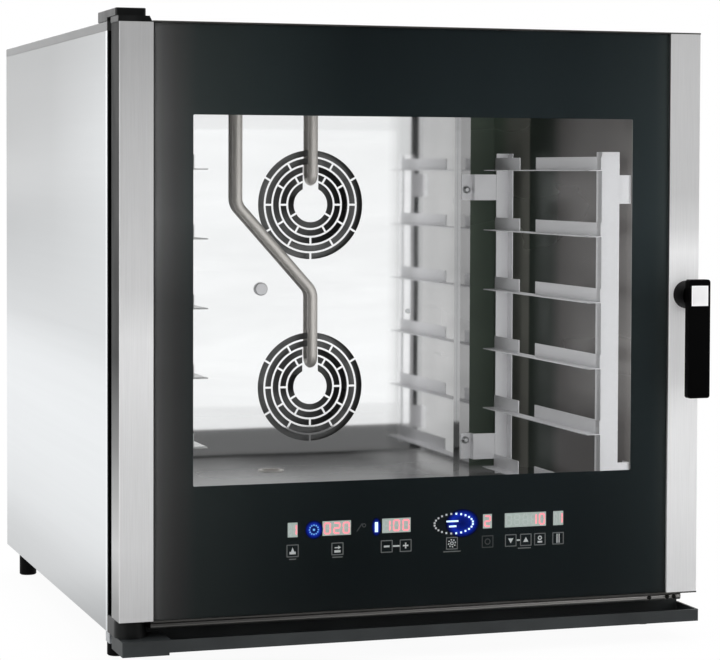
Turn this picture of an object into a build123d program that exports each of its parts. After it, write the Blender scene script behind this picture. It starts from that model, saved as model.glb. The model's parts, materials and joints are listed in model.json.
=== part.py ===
from build123d import *
import os
from math import atan2, cos, degrees, radians, sin

os.makedirs("parts", exist_ok=True)

# Convection bakery oven with a glass door hinged on its left.
# X is across the oven, Y runs from the handle in front to the fittings at the back, Z is up.
# The origin is on the floor, under the middle of the whole oven.

# Clearances between pieces
seat_gap = 0.3
running_gap = 0.05
swing_gap = 1.0

# Casing
casing_width = 860.0
casing_depth = 811.0
casing_height = 839.0
feet_height = 45.5
casing_sheet = 1.2
cover_lip = 13.0
cover_edge_radius = 2.0
panel_return = 16.0
frame_sheet = 1.5
frame_return = 20.0
base_sheet = 1.5
base_wall = 30.0
fitting_reach = 22.0

# Feet
foot_radius = 14.0
foot_stem_radius = 5.0
foot_side_inset = 27.5
foot_front_inset = 64.0
foot_rear_inset = 44.0
foot_boss_radius = 12.0
foot_boss_height = 18.0

# Oven cavity and its insulation
cavity_side_wall = 75.0
cavity_head = 94.5
cavity_floor = 170.0
machine_room_depth = 252.0
liner_sheet = 1.5
insulation_side = 45.0
insulation_rear = 60.0
insulation_front_inset = 22.0

# Fan cover with its two slotted grilles
fan_room_depth = 100.0
fan_cover_side_gap = 54.5
fan_cover_fold = 14.0
fan_cover_flange = 17.0
fan_cover_sheet = 1.5
fan_cover_floor_gap = 2.0
fan_end_inset = 163.5
grille_radius = 87.5
grille_disc_radius = 25.0
grille_rings = 5
grille_ring_web = 3.0
grille_spokes = 6
grille_inner_spokes = 3
grille_spoke_web = 3.2
steam_boss_width = 26.0
steam_boss_rings = 3

# Circulation fans, their motors and heaters
wheel_radius = 98.0
wheel_eye_radius = 66.0
wheel_depth = 58.0
wheel_sheet = 1.5
wheel_blades = 10
wheel_front_gap = 14.0
wheel_hub_radius = 14.0
wheel_hub_length = 30.0
wheel_blade_chord = 32.0
wheel_blade_sweep = 35.0
shaft_radius = 7.0
shaft_hole_radius = 11.0
motor_radius = 60.0
motor_length = 112.0
motor_flange_radius = 70.0
motor_flange_thickness = 6.0
motor_shaft_depth = 40.0
motor_fins = 12
motor_fin_height = 3.0
motor_fin_width = 3.0
motor_plate_sheet = 2.0
motor_plate_margin = 18.0
standoff_radius = 4.0
heater_ring_radius = 120.0
heater_tube_radius = 4.2
heater_tube_sides = 8
heater_turns = 2
heater_turn_pitch = 26.0
heater_terminal_spacing = 20.0
heater_terminal_reach = 34.0
heater_straps = 3
heater_strap_sheet = 2.0
heater_strap_width = 9.0
heater_flange_width = 44.0
heater_flange_height = 24.0
heater_flange_thickness = 3.0

# Steam tubes, which bend back through the fan cover above each fan's centre
steam_tube_radius = 8.0
steam_tube_wall = 1.5
steam_tube_standoff = 12.5
steam_tube_elbow = 12.0
steam_tube_bend = 26.0
steam_tube_rise = 39.0
steam_tube_side = 125.0
steam_bend_top_rise = 147.0
steam_bend_bottom_rise = 8.0
steam_tube_nose = 4.0
gland_radius = 12.0
gland_height = 8.0
manifold_size = 18.0
water_pipe_radius = 5.0

# Tray rack: six levels for 600 x 400 trays
rack_levels = 6
rack_side_gap = 48.5
rack_front_inset = 4.0
rack_rear_gap = 30.0
rack_sheet = 1.5
upright_width = 28.0
upright_flange = 20.0
upright_head = 80.0
upright_foot = 16.0
rail_top_inset = 28.0
rail_bottom_inset = 11.0
rail_height = 21.0
rail_ledge = 20.0
rear_upright_width = 22.0
rail_notch_rear = 106.0
rail_notch_length = 68.0
bracket_height = 42.0
lower_bracket_rise = 45.0
upper_bracket_drop = 55.0
bracket_flange = 22.0
bracket_web_offset = 17.0
lower_nut_rise = 10.0
upper_nut_drop = 4.0
nut_inset = 9.0
nut_radius = 6.0
nut_height = 6.0
stud_radius = 3.0

# Cavity fittings
probe_x = -83.0
probe_rise = 12.0
probe_head_radius = 10.5
probe_head_thickness = 6.0
probe_rod_radius = 3.0
probe_head_chamfer = 1.5
probe_tail = 20.0
cover_screw_x = 166.5
cover_screw_drop = 27.0
cover_screw_radius = 4.0
cover_stud_radius = 2.5
lamp_depth = 250.0
lamp_head = 150.0
lamp_radius = 30.0
lamp_lens_rise = 10.0
lamp_flange = 4.0
lamp_housing_depth = 40.0
drain_depth = 230.0
drain_radius = 17.0
drain_wall = 1.5
drain_bend = 40.0
drain_height = 100.0
drain_rim = 5.0
drain_collar = 5.0
drain_collar_thickness = 2.0

# Door
door_side_inset = 1.0
door_head_gap = 4.5
door_bottom = 70.0
door_frame_depth = 48.0
door_standoff = 23.0
door_cap = 2.0
door_sole = 2.0
door_cap_inset = 47.0
trim_width = 47.5
trim_sheet = 1.5
trim_return = 4.5
trim_edge_radius = 1.2
profile_wall = 3.0
profile_width = 45.0
profile_block = 35.0
profile_lip = 16.0
profile_lip_sheet = 2.0
rail_wall = 2.5
door_rail_height = 24.0
glass_side_gap = 2.0
glass_recess = 1.0
outer_glass_thickness = 5.0
inner_glass_side_inset = 53.0
inner_glass_end_inset = 30.0
inner_glass_thickness = 5.0
inner_glass_proud = 1.0
inner_glass_corner = 4.0
clip_width = 30.0
clip_thickness = 3.0
clip_overlap = 14.0
clip_foot = 12.0
clip_end_inset = 115.0
gasket_width = 14.0
gasket_mouth_gap = 3.0
gasket_radius = 18.0
gasket_edge_radius = 4.0

# Controls behind the lower band of the door glass
display_rise = 115.0
display_height = 21.0
display_places = (
    (-183.5, 15.0),
    (-119.6, 42.0),
    (-32.0, 42.5),
    (104.5, 14.5),
    (162.5, 63.5),
    (213.0, 16.0),
)
housing_side_inset = 129.0
housing_height = 140.0
housing_wall = 2.0
housing_depth = 32.0
housing_corner = 6.0
board_thickness = 1.6
board_margin = 12.0
board_setback = 12.0
board_post_radius = 4.0

# Gutter under the door
gutter_height = 10.5
gutter_depth = 30.0
gutter_front_inset = 6.0
gutter_edge_radius = 5.0
gutter_left_inset = 45.0
gutter_right_inset = 22.0
gutter_screw_radius = 3.2
gutter_screw_head = 1.2
gutter_screw_seat = 1.5
gutter_screw_insets = (11.0, 22.0, 50.5)

# Hinge
hinge_side_inset = 22.0
hinge_setback = 30.0
hinge_pin_radius = 5.0
hinge_pin_reach = 28.0
hinge_plate_thickness = 8.0
hinge_plate_chamfer = 8.0
cap_thickness = 15.0
cap_arm_thickness = 10.5
cap_width = 42.0
cap_overhang = 13.3
cap_seat_depth = 60.0
cap_edge_radius = 1.5
cap_corner_radius = 3.0
hinge_block_width = 44.0
hinge_block_edge_radius = 1.5

# Handle and latch
handle_side_inset = 21.5
handle_rise = 433.7
handle_reach = 46.0
rosette_radius = 20.0
rosette_thickness = 6.0
handle_hub_radius = 20.5
lever_width = 34.0
lever_thickness = 13.0
lever_above = 23.3
lever_below = 147.2
lever_corner_radius = 4.0
lever_edge_radius = 1.5
badge_width = 26.0
badge_height = 29.0
badge_thickness = 1.0
spindle_radius = 6.0
sleeve_radius = 9.0
hook_length = 26.0
hook_width = 12.0
hook_thickness = 5.0
hook_hub_radius = 12.0
hook_setback = 5.0
keeper_width = 31.0
keeper_sheet = 3.0
keeper_lap = 8.0
keeper_base_height = 30.0
keeper_lip_gap = 1.0

# Drip tray under the door
tray_side_inset = 3.0
tray_front = 12.0
tray_depth = 70.0
tray_height = 17.0
tray_wall = 3.0
tray_trough = 12.0
tray_edge_radius = 1.5
tray_back_rise = 7.0
tray_end_width = 65.0
tray_end_drop = 3.5
tray_lug_width = 25.0
tray_lug_height = 10.0
tray_bracket_width = 40.0
tray_bracket_depth = 24.0
tray_bracket_sheet = 2.0

# Rear fittings
exhaust_side_inset = 230.0
exhaust_radius = 25.0
exhaust_wall = 1.5
exhaust_rim = 5.0
exhaust_bend = 45.0
exhaust_rise = 40.5
exhaust_run = 160.0
exhaust_below_ceiling = 40.0
exhaust_collar_radius = 38.0
exhaust_collar_thickness = 3.0
valve_x, valve_z = -120.0, 96.0
valve_size = 32.0
valve_thread_radius = 13.2
valve_bore_radius = 9.0
valve_nut_radius = 18.0
valve_nut_height = 5.0
pipe_setback = 30.0
gland_side_inset = 130.0
gland_z = 100.0
gland_thread_radius = 12.0
gland_bore_radius = 7.0
gland_nut_radius = 16.0
gland_nut_height = 7.0
gland_dome_reach = 18.0
board_side_inset = 140.0
board_z = 250.0
power_board_width = 180.0
power_board_height = 140.0
power_board_standoff = 12.0
relay_size = 26.0
relay_height = 22.0
cooling_side_inset = 140.0
cooling_z = 300.0
cooling_size = 92.0
cooling_thickness = 25.0
cooling_bore_radius = 42.0
cooling_hub_radius = 16.0
cooling_pin_radius = 3.0
cooling_spider = 3.0
cooling_strut = 6.0
cooling_blades = 7
cooling_blade_chord = 18.0
cooling_blade_sheet = 1.6
cooling_blade_pitch = 35.0
vent_length = 60.0
vent_width = 5.0
vent_pitch = 12.0
casing_screw_radius = 4.0
casing_screw_head = 2.0
casing_screw_shank = 2.0
casing_screw_reach = 6.0
casing_screw_rows = 4
casing_screw_foot = 74.5
casing_screw_head_inset = 44.5

# Sizes and places worked out from the sizes above
casing_top = feet_height + casing_height
cavity_width = casing_width - 2 * cavity_side_wall
cavity_height = casing_top - cavity_head - cavity_floor
cavity_depth = casing_depth - machine_room_depth
fan_cover_depth = cavity_depth - fan_room_depth
tray_clear_width = cavity_width - 2 * rack_side_gap
fan_cover_width = tray_clear_width - 2 * fan_cover_side_gap
fan_spacing = cavity_height - 2 * fan_end_inset
door_width = casing_width - 2 * door_side_inset
door_height = casing_top - door_head_gap - door_bottom
inner_glass_width = door_width - 2 * inner_glass_side_inset
inner_glass_height = door_height - 2 * inner_glass_end_inset
clip_spacing = inner_glass_height - 2 * clip_end_inset
housing_width = door_width - 2 * housing_side_inset
tray_width = casing_width - 2 * tray_side_inset
cover_bottom = casing_top - cover_lip
panel_top = cover_bottom - seat_gap
overall_depth = handle_reach + door_frame_depth + door_standoff + casing_depth + fitting_reach
door_face_y = handle_reach - overall_depth / 2
door_back_y = door_face_y + door_frame_depth
casing_front_y = door_back_y + door_standoff
casing_back_y = casing_front_y + casing_depth
back_panel_y = casing_back_y - casing_sheet
rear_inside_y = back_panel_y - casing_sheet
inside_half = casing_width / 2 - casing_sheet - seat_gap
base_half = inside_half - frame_sheet - seat_gap
base_front_y = casing_front_y + frame_sheet
liner_front_y = casing_front_y + frame_sheet
cavity_back_y = casing_front_y + cavity_depth
liner_back_y = cavity_back_y + liner_sheet
cavity_ceiling = cavity_floor + cavity_height
cavity_middle = cavity_floor + cavity_height / 2
steam_bend_top = cavity_middle + steam_bend_top_rise
steam_bend_bottom = cavity_middle + steam_bend_bottom_rise
probe_z = cavity_middle + probe_rise
cover_screw_z = cavity_middle - cover_screw_drop
lamp_height = cavity_ceiling - lamp_head
insulation_back_y = liner_back_y + insulation_rear
insulation_top = cavity_ceiling + liner_sheet + insulation_side
fan_cover_y = casing_front_y + fan_cover_depth
fan_cover_back_y = fan_cover_y + fan_cover_sheet
fan_heights = (("lower", cavity_middle - fan_spacing / 2), ("upper", cavity_middle + fan_spacing / 2))
wheel_front_y = fan_cover_back_y + wheel_front_gap
motor_plate_y = insulation_back_y + motor_plate_sheet
motor_back_y = motor_plate_y + motor_length
door_top = door_bottom + door_height
door_half = door_width / 2
trim_inner_x = door_half - trim_width
glass_half = trim_inner_x - glass_side_gap
outer_glass_back_y = door_face_y + glass_recess + outer_glass_thickness
profile_inner_x = door_half - profile_width
rail_front_y = outer_glass_back_y + seat_gap
inner_glass_back_y = door_back_y + inner_glass_proud
inner_glass_middle = door_bottom + door_height / 2
display_z = door_bottom + display_rise
steam_tube_y = fan_cover_y - steam_tube_standoff
steam_end_y = fan_cover_back_y + steam_tube_nose
steam_top = insulation_top + seat_gap
rack_depth = fan_cover_depth - rack_front_inset - rack_rear_gap
rail_notch_start = rack_depth - rail_notch_rear - rail_notch_length
rack_front_y = casing_front_y + rack_front_inset
rack_back_y = rack_front_y + rack_depth
rack_rail_x = tray_clear_width / 2
rack_upright_x = rack_rail_x + rack_sheet
upright_top = cavity_ceiling - upright_head
upright_bottom = cavity_floor + upright_foot
rack_top_rail = upright_top - rail_top_inset
rack_bottom_rail = upright_bottom + rail_bottom_inset
rack_pitch = (rack_top_rail - rack_bottom_rail) / (rack_levels - 1)
rack_rail_heights = [rack_top_rail - rack_pitch * level for level in range(rack_levels)]
bracket_heights = (upright_bottom + lower_bracket_rise, upright_top - upper_bracket_drop)
nut_heights = (bracket_heights[0] + lower_nut_rise, bracket_heights[1] - upper_nut_drop)
hinge_x = hinge_side_inset - casing_width / 2
hinge_y = door_face_y + hinge_setback
handle_x = casing_width / 2 - handle_side_inset
handle_z = door_bottom + handle_rise
sleeve_length = door_frame_depth + hook_setback - swing_gap
hook_y = door_back_y + hook_setback
hook_back_y = hook_y + hook_thickness
lever_back_y = door_face_y - handle_reach + lever_thickness
tray_top = feet_height
tray_front_y = door_face_y - tray_front
tray_back_y = tray_front_y + tray_depth
foot_places = [
    (hand * (casing_width / 2 - foot_side_inset), foot_y)
    for hand in (-1, 1)
    for foot_y in (casing_front_y + foot_front_inset, casing_back_y - foot_rear_inset)
]
heater_terminal_angle = 45.0
heater_terminal_places = [
    (
        heater_ring_radius * cos(radians(heater_terminal_angle)) + hand * heater_terminal_spacing / 2,
        height - heater_ring_radius * sin(radians(heater_terminal_angle)),
    )
    for _, height in fan_heights
    for hand in (-1, 1)
]
nut_x = fan_cover_width / 2 + nut_inset
nut_places = [(hand * nut_x, nut_z) for hand in (-1, 1) for nut_z in nut_heights]
exhaust_x = casing_width / 2 - exhaust_side_inset
gland_x = gland_side_inset - casing_width / 2
board_x = casing_width / 2 - board_side_inset
cooling_x = cooling_side_inset - casing_width / 2
casing_screw_x = casing_width / 2 - panel_return / 2
casing_screw_lowest = feet_height + casing_screw_foot
casing_screw_pitch = (casing_top - casing_screw_head_inset - casing_screw_lowest) / (casing_screw_rows - 1)
casing_screw_heights = [casing_screw_lowest + casing_screw_pitch * row for row in range(casing_screw_rows)]
casing_screw_places = [
    (hand * casing_screw_x, screw_z) for hand in (-1, 1) for screw_z in casing_screw_heights
]
standoff_places = [
    (hand * (motor_flange_radius + motor_plate_margin), cavity_middle + lift * (fan_spacing / 2))
    for hand in (-1, 1)
    for lift in (-1, 0, 1)
]


def across(y):
    """Plane across the oven at y, drawn in X and Z. It extrudes towards the front."""
    return Plane(origin=(0, y, 0), x_dir=(1, 0, 0), z_dir=(0, -1, 0))


def level_at(z):
    """Horizontal plane at height z, drawn in X and Y. It extrudes upwards."""
    return Plane.XY.offset(z)


# Base frame: a shallow pan with a threaded boss over each foot and a bracket at each front corner
# that holds the drip tray.
with BuildPart() as base_frame:
    base_depth = rear_inside_y - base_front_y
    base_middle_y = (rear_inside_y + base_front_y) / 2
    with BuildSketch(level_at(feet_height)):
        with Locations((0, base_middle_y)):
            Rectangle(2 * base_half, base_depth)
    extrude(amount=base_wall)
    with BuildSketch(level_at(feet_height + base_sheet)):
        with Locations((0, base_middle_y)):
            Rectangle(2 * (base_half - base_sheet), base_depth - 2 * base_sheet)
    extrude(amount=base_wall, mode=Mode.SUBTRACT)
    with BuildSketch(level_at(feet_height)):
        with Locations(*foot_places):
            Circle(foot_boss_radius)
    extrude(amount=foot_boss_height)
    with BuildSketch(level_at(feet_height)):
        with Locations(*foot_places):
            Circle(foot_stem_radius)
    extrude(amount=foot_boss_height, mode=Mode.SUBTRACT)
    with BuildSketch(level_at(feet_height - tray_height)):
        with BuildLine():
            Polyline(
                (base_half, base_front_y),
                (base_half - tray_bracket_width, base_front_y),
                (base_half - tray_bracket_width, base_front_y + tray_bracket_sheet),
                (base_half - tray_bracket_sheet, base_front_y + tray_bracket_sheet),
                (base_half - tray_bracket_sheet, base_front_y + tray_bracket_depth),
                (base_half, base_front_y + tray_bracket_depth),
                close=True,
            )
        make_face()
        mirror(about=Plane.YZ)
    extrude(amount=tray_height)
base_frame.part.label = "base_frame"
export_step(base_frame.part, "parts/base_frame.step")

# Levelling feet: a moulded pad and neck on a threaded stem.
with BuildPart() as levelling_feet:
    with BuildSketch(level_at(0)):
        with Locations(*foot_places):
            Circle(foot_radius)
    extrude(amount=feet_height - seat_gap)
    chamfer(levelling_feet.edges().group_by(Axis.Z)[0], 1.5)
    with BuildSketch(level_at(feet_height - seat_gap)):
        with Locations(*foot_places):
            Circle(foot_stem_radius - running_gap)
    extrude(amount=foot_boss_height)
levelling_feet.part.label = "levelling_feet"
export_step(levelling_feet.part, "parts/levelling_feet.step")

# Side panels: a flat skin with a return welded along its rear edge and one along its top.
for hand, side_name in ((-1, "left"), (1, "right")):
    outer_x = hand * casing_width / 2
    skin_x = hand * (casing_width / 2 - casing_sheet)
    weld_x = hand * (casing_width / 2 - casing_sheet - seat_gap)
    return_x = hand * (casing_width / 2 - panel_return)
    return_width = panel_return - casing_sheet - seat_gap
    with BuildPart() as side_panel:
        with BuildSketch(level_at(feet_height)):
            with Locations(((outer_x + skin_x) / 2, (casing_front_y + casing_back_y) / 2)):
                Rectangle(casing_sheet, casing_depth)
            with Locations(((weld_x + return_x) / 2, (back_panel_y + casing_back_y) / 2)):
                Rectangle(return_width, casing_sheet)
        extrude(amount=panel_top - feet_height)
        top_return_length = back_panel_y - base_front_y - 2 * seat_gap
        with BuildSketch(level_at(panel_top - casing_sheet)):
            with Locations(((weld_x + return_x) / 2, (base_front_y + back_panel_y) / 2)):
                Rectangle(return_width, top_return_length)
        extrude(amount=casing_sheet)
        with BuildSketch(across(casing_back_y)):
            with Locations(*[(hand * casing_screw_x, screw_z) for screw_z in casing_screw_heights]):
                Circle(casing_screw_shank + seat_gap)
        extrude(amount=casing_sheet, mode=Mode.SUBTRACT)
    side_panel.part.label = f"{side_name}_side_panel"
    export_step(side_panel.part, f"parts/{side_name}_side_panel.step")

# Top cover: a lid with a lip down all round, and a hole for the exhaust pipe.
exhaust_y = liner_back_y + exhaust_run
with BuildPart() as top_cover:
    cover_middle_y = (casing_front_y + casing_back_y) / 2
    with BuildSketch(level_at(cover_bottom)):
        with Locations((0, cover_middle_y)):
            Rectangle(casing_width, casing_depth)
    extrude(amount=cover_lip)
    fillet(top_cover.edges().group_by(Axis.Z)[-1], cover_edge_radius)
    with BuildSketch(level_at(cover_bottom)):
        with Locations((0, cover_middle_y)):
            Rectangle(casing_width - 2 * casing_sheet, casing_depth - 2 * casing_sheet)
    extrude(amount=cover_lip - casing_sheet, mode=Mode.SUBTRACT)
    with BuildSketch(level_at(cover_bottom)):
        with Locations((exhaust_x, exhaust_y)):
            Circle(exhaust_radius + seat_gap)
    extrude(amount=cover_lip, mode=Mode.SUBTRACT)
top_cover.part.label = "top_cover"
export_step(top_cover.part, "parts/top_cover.step")

# Back panel: a flat sheet inside the side panels' returns, with cooling slots, the opening of the
# cooling fan and holes for the drain, the water inlet and the cable gland.
with BuildPart() as back_panel:
    panel_bottom = feet_height + base_sheet
    panel_height = panel_top - casing_sheet - seat_gap - panel_bottom
    with BuildSketch(across(back_panel_y)):
        with Locations((0, panel_bottom + panel_height / 2)):
            Rectangle(2 * inside_half, panel_height)
        with Locations((cooling_x, cooling_z)):
            Circle(cooling_bore_radius, mode=Mode.SUBTRACT)
        with Locations((0, drain_height)):
            Circle(drain_radius + seat_gap, mode=Mode.SUBTRACT)
        with Locations((valve_x, valve_z)):
            Circle(valve_thread_radius + seat_gap, mode=Mode.SUBTRACT)
        with Locations((gland_x, gland_z)):
            Circle(gland_thread_radius + seat_gap, mode=Mode.SUBTRACT)
        with Locations(*casing_screw_places):
            Circle(casing_screw_shank + seat_gap, mode=Mode.SUBTRACT)
        for bank_x in (cooling_x, -cooling_x):
            with Locations((bank_x, panel_top - cavity_height / 4)):
                with GridLocations(vent_length * 1.4, vent_pitch, 2, 6):
                    SlotOverall(vent_length, vent_width, mode=Mode.SUBTRACT)
    extrude(amount=casing_sheet)
back_panel.part.label = "back_panel"
export_step(back_panel.part, "parts/back_panel.step")

# Front frame: the stainless face round the oven mouth, with a return down each side.
with BuildPart() as front_frame:
    with BuildSketch(across(base_front_y)):
        with Locations((0, (feet_height + panel_top) / 2)):
            Rectangle(2 * inside_half, panel_top - feet_height)
        with Locations((0, cavity_middle)):
            Rectangle(cavity_width, cavity_height, mode=Mode.SUBTRACT)
    extrude(amount=frame_sheet)
    with BuildSketch(level_at(feet_height)):
        for hand in (-1, 1):
            with Locations((hand * (inside_half - frame_sheet / 2), base_front_y + frame_return / 2)):
                Rectangle(frame_sheet, frame_return)
    extrude(amount=panel_top - panel_return - feet_height)
front_frame.part.label = "front_frame"
export_step(front_frame.part, "parts/front_frame.step")

# Cavity liner: the open-fronted stainless box of the oven chamber.
with BuildPart() as cavity_liner:
    with BuildSketch(across(liner_back_y)):
        with Locations((0, cavity_middle)):
            Rectangle(cavity_width + 2 * liner_sheet, cavity_height + 2 * liner_sheet)
    extrude(amount=liner_back_y - liner_front_y)
    with BuildSketch(across(cavity_back_y)):
        with Locations((0, cavity_middle)):
            Rectangle(cavity_width, cavity_height)
    extrude(amount=cavity_back_y - liner_front_y, mode=Mode.SUBTRACT)
    with BuildSketch(across(liner_back_y)):
        with Locations(*[(0, height) for _, height in fan_heights]):
            Circle(shaft_hole_radius)
        with Locations((exhaust_x, cavity_ceiling - exhaust_below_ceiling)):
            Circle(exhaust_radius + seat_gap)
        with Locations((probe_x, probe_z)):
            Circle(probe_rod_radius + seat_gap)
        with Locations(*heater_terminal_places):
            Circle(heater_tube_radius + seat_gap)
    extrude(amount=liner_sheet, mode=Mode.SUBTRACT)
    with BuildSketch(level_at(cavity_ceiling)):
        with Locations((0, steam_tube_y), (-steam_tube_side, steam_tube_y)):
            Circle(steam_tube_radius + seat_gap)
    extrude(amount=liner_sheet, mode=Mode.SUBTRACT)
    with BuildSketch(level_at(cavity_floor - liner_sheet)):
        with Locations((0, casing_front_y + drain_depth)):
            Circle(drain_radius + seat_gap)
    extrude(amount=liner_sheet, mode=Mode.SUBTRACT)
    with BuildSketch(Plane.YZ.offset(-cavity_width / 2 - liner_sheet)):
        with Locations((casing_front_y + lamp_depth, lamp_height)):
            Circle(lamp_radius - liner_sheet)
    extrude(amount=liner_sheet, mode=Mode.SUBTRACT)
cavity_liner.part.label = "cavity_liner"
export_step(cavity_liner.part, "parts/cavity_liner.step")

# Insulation: mineral wool round the liner, with a way through for everything that passes it.
with BuildPart() as insulation:
    wool_front_y = liner_front_y + insulation_front_inset
    with BuildSketch(across(insulation_back_y)):
        with Locations((0, cavity_middle)):
            Rectangle(
                cavity_width + 2 * (liner_sheet + insulation_side),
                cavity_height + 2 * (liner_sheet + insulation_side),
            )
    extrude(amount=insulation_back_y - wool_front_y)
    with BuildSketch(across(liner_back_y)):
        with Locations((0, cavity_middle)):
            Rectangle(cavity_width + 2 * liner_sheet, cavity_height + 2 * liner_sheet)
    extrude(amount=liner_back_y - wool_front_y, mode=Mode.SUBTRACT)
    with BuildSketch(across(insulation_back_y)):
        with Locations(*[(0, height) for _, height in fan_heights]):
            Circle(shaft_hole_radius)
        with Locations((exhaust_x, cavity_ceiling - exhaust_below_ceiling)):
            Circle(exhaust_radius + seat_gap)
        with Locations((probe_x, probe_z)):
            Circle(probe_rod_radius + seat_gap)
        with Locations(*heater_terminal_places):
            Circle(heater_tube_radius + seat_gap)
        with Locations(*standoff_places):
            Circle(standoff_radius + seat_gap)
    extrude(amount=insulation_rear, mode=Mode.SUBTRACT)
    with BuildSketch(level_at(cavity_ceiling + liner_sheet)):
        with Locations((0, steam_tube_y), (-steam_tube_side, steam_tube_y)):
            Circle(steam_tube_radius + seat_gap)
    extrude(amount=insulation_side, mode=Mode.SUBTRACT)
    with BuildSketch(level_at(cavity_floor - liner_sheet - insulation_side)):
        with Locations((0, casing_front_y + drain_depth)):
            Circle(drain_radius + seat_gap)
    extrude(amount=insulation_side, mode=Mode.SUBTRACT)
    with BuildSketch(Plane.YZ.offset(-cavity_width / 2 - liner_sheet - insulation_side)):
        with Locations((casing_front_y + lamp_depth, lamp_height)):
            Circle(lamp_radius + seat_gap)
    extrude(amount=insulation_side, mode=Mode.SUBTRACT)
insulation.part.label = "insulation"
export_step(insulation.part, "parts/insulation.step")

# Door gasket: a rounded rubber ring on the front frame, round the oven mouth.
with BuildPart() as door_gasket:
    gasket_inner_width = cavity_width + 2 * gasket_mouth_gap
    gasket_inner_height = cavity_height + 2 * gasket_mouth_gap
    with BuildSketch(across(casing_front_y)):
        with Locations((0, cavity_middle)):
            RectangleRounded(
                gasket_inner_width + 2 * gasket_width, gasket_inner_height + 2 * gasket_width, gasket_radius
            )
            RectangleRounded(
                gasket_inner_width, gasket_inner_height, gasket_radius - gasket_width, mode=Mode.SUBTRACT
            )
    extrude(amount=casing_front_y - seat_gap - inner_glass_back_y)
    fillet(door_gasket.edges().group_by(Axis.Y)[0], gasket_edge_radius)
door_gasket.part.label = "door_gasket"
export_step(door_gasket.part, "parts/door_gasket.step")

# Fan cover plate: a polished sheet folded forward along both sides. Each fan is behind a grille of
# concentric slots, with spokes that stagger from ring to ring and a plain boss round the steam tube.
with BuildPart() as fan_cover_plate:
    cover_half = fan_cover_width / 2
    fold_y = fan_cover_y - fan_cover_fold
    flange_half = cover_half + fan_cover_flange
    with BuildSketch(level_at(cavity_floor + fan_cover_floor_gap)):
        with BuildLine():
            Polyline(
                (0, fan_cover_y),
                (cover_half, fan_cover_y),
                (cover_half, fold_y),
                (flange_half, fold_y),
                (flange_half, fold_y + fan_cover_sheet),
                (cover_half + fan_cover_sheet, fold_y + fan_cover_sheet),
                (cover_half + fan_cover_sheet, fan_cover_back_y),
                (0, fan_cover_back_y),
                close=True,
            )
        make_face()
        mirror(about=Plane.YZ)
    extrude(amount=cavity_height - 2 * fan_cover_floor_gap)
    ring_pitch = (grille_radius - grille_disc_radius) / grille_rings
    slot_width = ring_pitch - grille_ring_web
    boss_top = grille_disc_radius + steam_boss_rings * ring_pitch
    with BuildSketch(across(fan_cover_back_y)):
        for _, height in fan_heights:
            for ring in reversed(range(grille_rings)):
                slot_outer = grille_disc_radius + (ring + 1) * ring_pitch
                with Locations((0, height)):
                    Circle(slot_outer)
                    Circle(slot_outer - slot_width, mode=Mode.SUBTRACT)
                    first_spoke = 90 if ring % 2 == 0 else 60
                    spokes = grille_inner_spokes if ring == 0 else grille_spokes
                    with PolarLocations(slot_outer - slot_width / 2, spokes, first_spoke):
                        Rectangle(slot_width + grille_ring_web, grille_spoke_web, mode=Mode.SUBTRACT)
            with Locations((0, height + boss_top / 2)):
                Rectangle(steam_boss_width, boss_top, mode=Mode.SUBTRACT)
            with Locations((0, height + steam_tube_rise)):
                Circle(steam_tube_radius + seat_gap)
    extrude(amount=fan_cover_sheet, mode=Mode.SUBTRACT)
    with BuildSketch(across(fan_cover_back_y)):
        with Locations((probe_x, probe_z)):
            Circle(probe_rod_radius + seat_gap)
        with Locations((cover_screw_x, cover_screw_z)):
            Circle(cover_stud_radius + seat_gap)
    extrude(amount=fan_cover_sheet, mode=Mode.SUBTRACT)
    with BuildSketch(across(fold_y + fan_cover_sheet)):
        with Locations(*nut_places):
            Circle(stud_radius + seat_gap)
    extrude(amount=fan_cover_sheet, mode=Mode.SUBTRACT)
fan_cover_plate.part.label = "fan_cover_plate"
export_step(fan_cover_plate.part, "parts/fan_cover_plate.step")

# Steam tubes: each comes down through the ceiling and bends back through the fan cover. The lower
# one steps sideways past the upper grille.
tube_routes = {
    "upper": [(0, steam_tube_y, steam_top)],
    "lower": [
        (-steam_tube_side, steam_tube_y, steam_top),
        (-steam_tube_side, steam_tube_y, steam_bend_top),
        (0, steam_tube_y, steam_bend_bottom),
    ],
}
for tube_name, height in fan_heights:
    route = tube_routes[tube_name] + [
        (0, steam_tube_y, height + steam_tube_rise),
        (0, steam_end_y, height + steam_tube_rise),
    ]
    bend_radii = [steam_tube_bend] * (len(route) - 3) + [steam_tube_elbow]
    with BuildPart() as steam_tube:
        with BuildLine():
            FilletPolyline(*route, radius=bend_radii)
        with BuildSketch(Plane(origin=route[0], z_dir=(0, 0, -1))):
            Circle(steam_tube_radius)
            Circle(steam_tube_radius - steam_tube_wall, mode=Mode.SUBTRACT)
        sweep()
    steam_tube.part.label = f"{tube_name}_steam_tube"
    export_step(steam_tube.part, f"parts/{tube_name}_steam_tube.step")

# Steam tube glands: a round nut under the ceiling on each tube.
with BuildPart() as steam_tube_glands:
    with BuildSketch(level_at(cavity_ceiling - gland_height)):
        with Locations((0, steam_tube_y), (-steam_tube_side, steam_tube_y)):
            Circle(gland_radius)
            Circle(steam_tube_radius + running_gap, mode=Mode.SUBTRACT)
    extrude(amount=gland_height)
    chamfer(steam_tube_glands.edges().group_by(Axis.Z)[0].sort_by(SortBy.RADIUS)[-2:], 2)
steam_tube_glands.part.label = "steam_tube_glands"
export_step(steam_tube_glands.part, "parts/steam_tube_glands.step")

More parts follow.
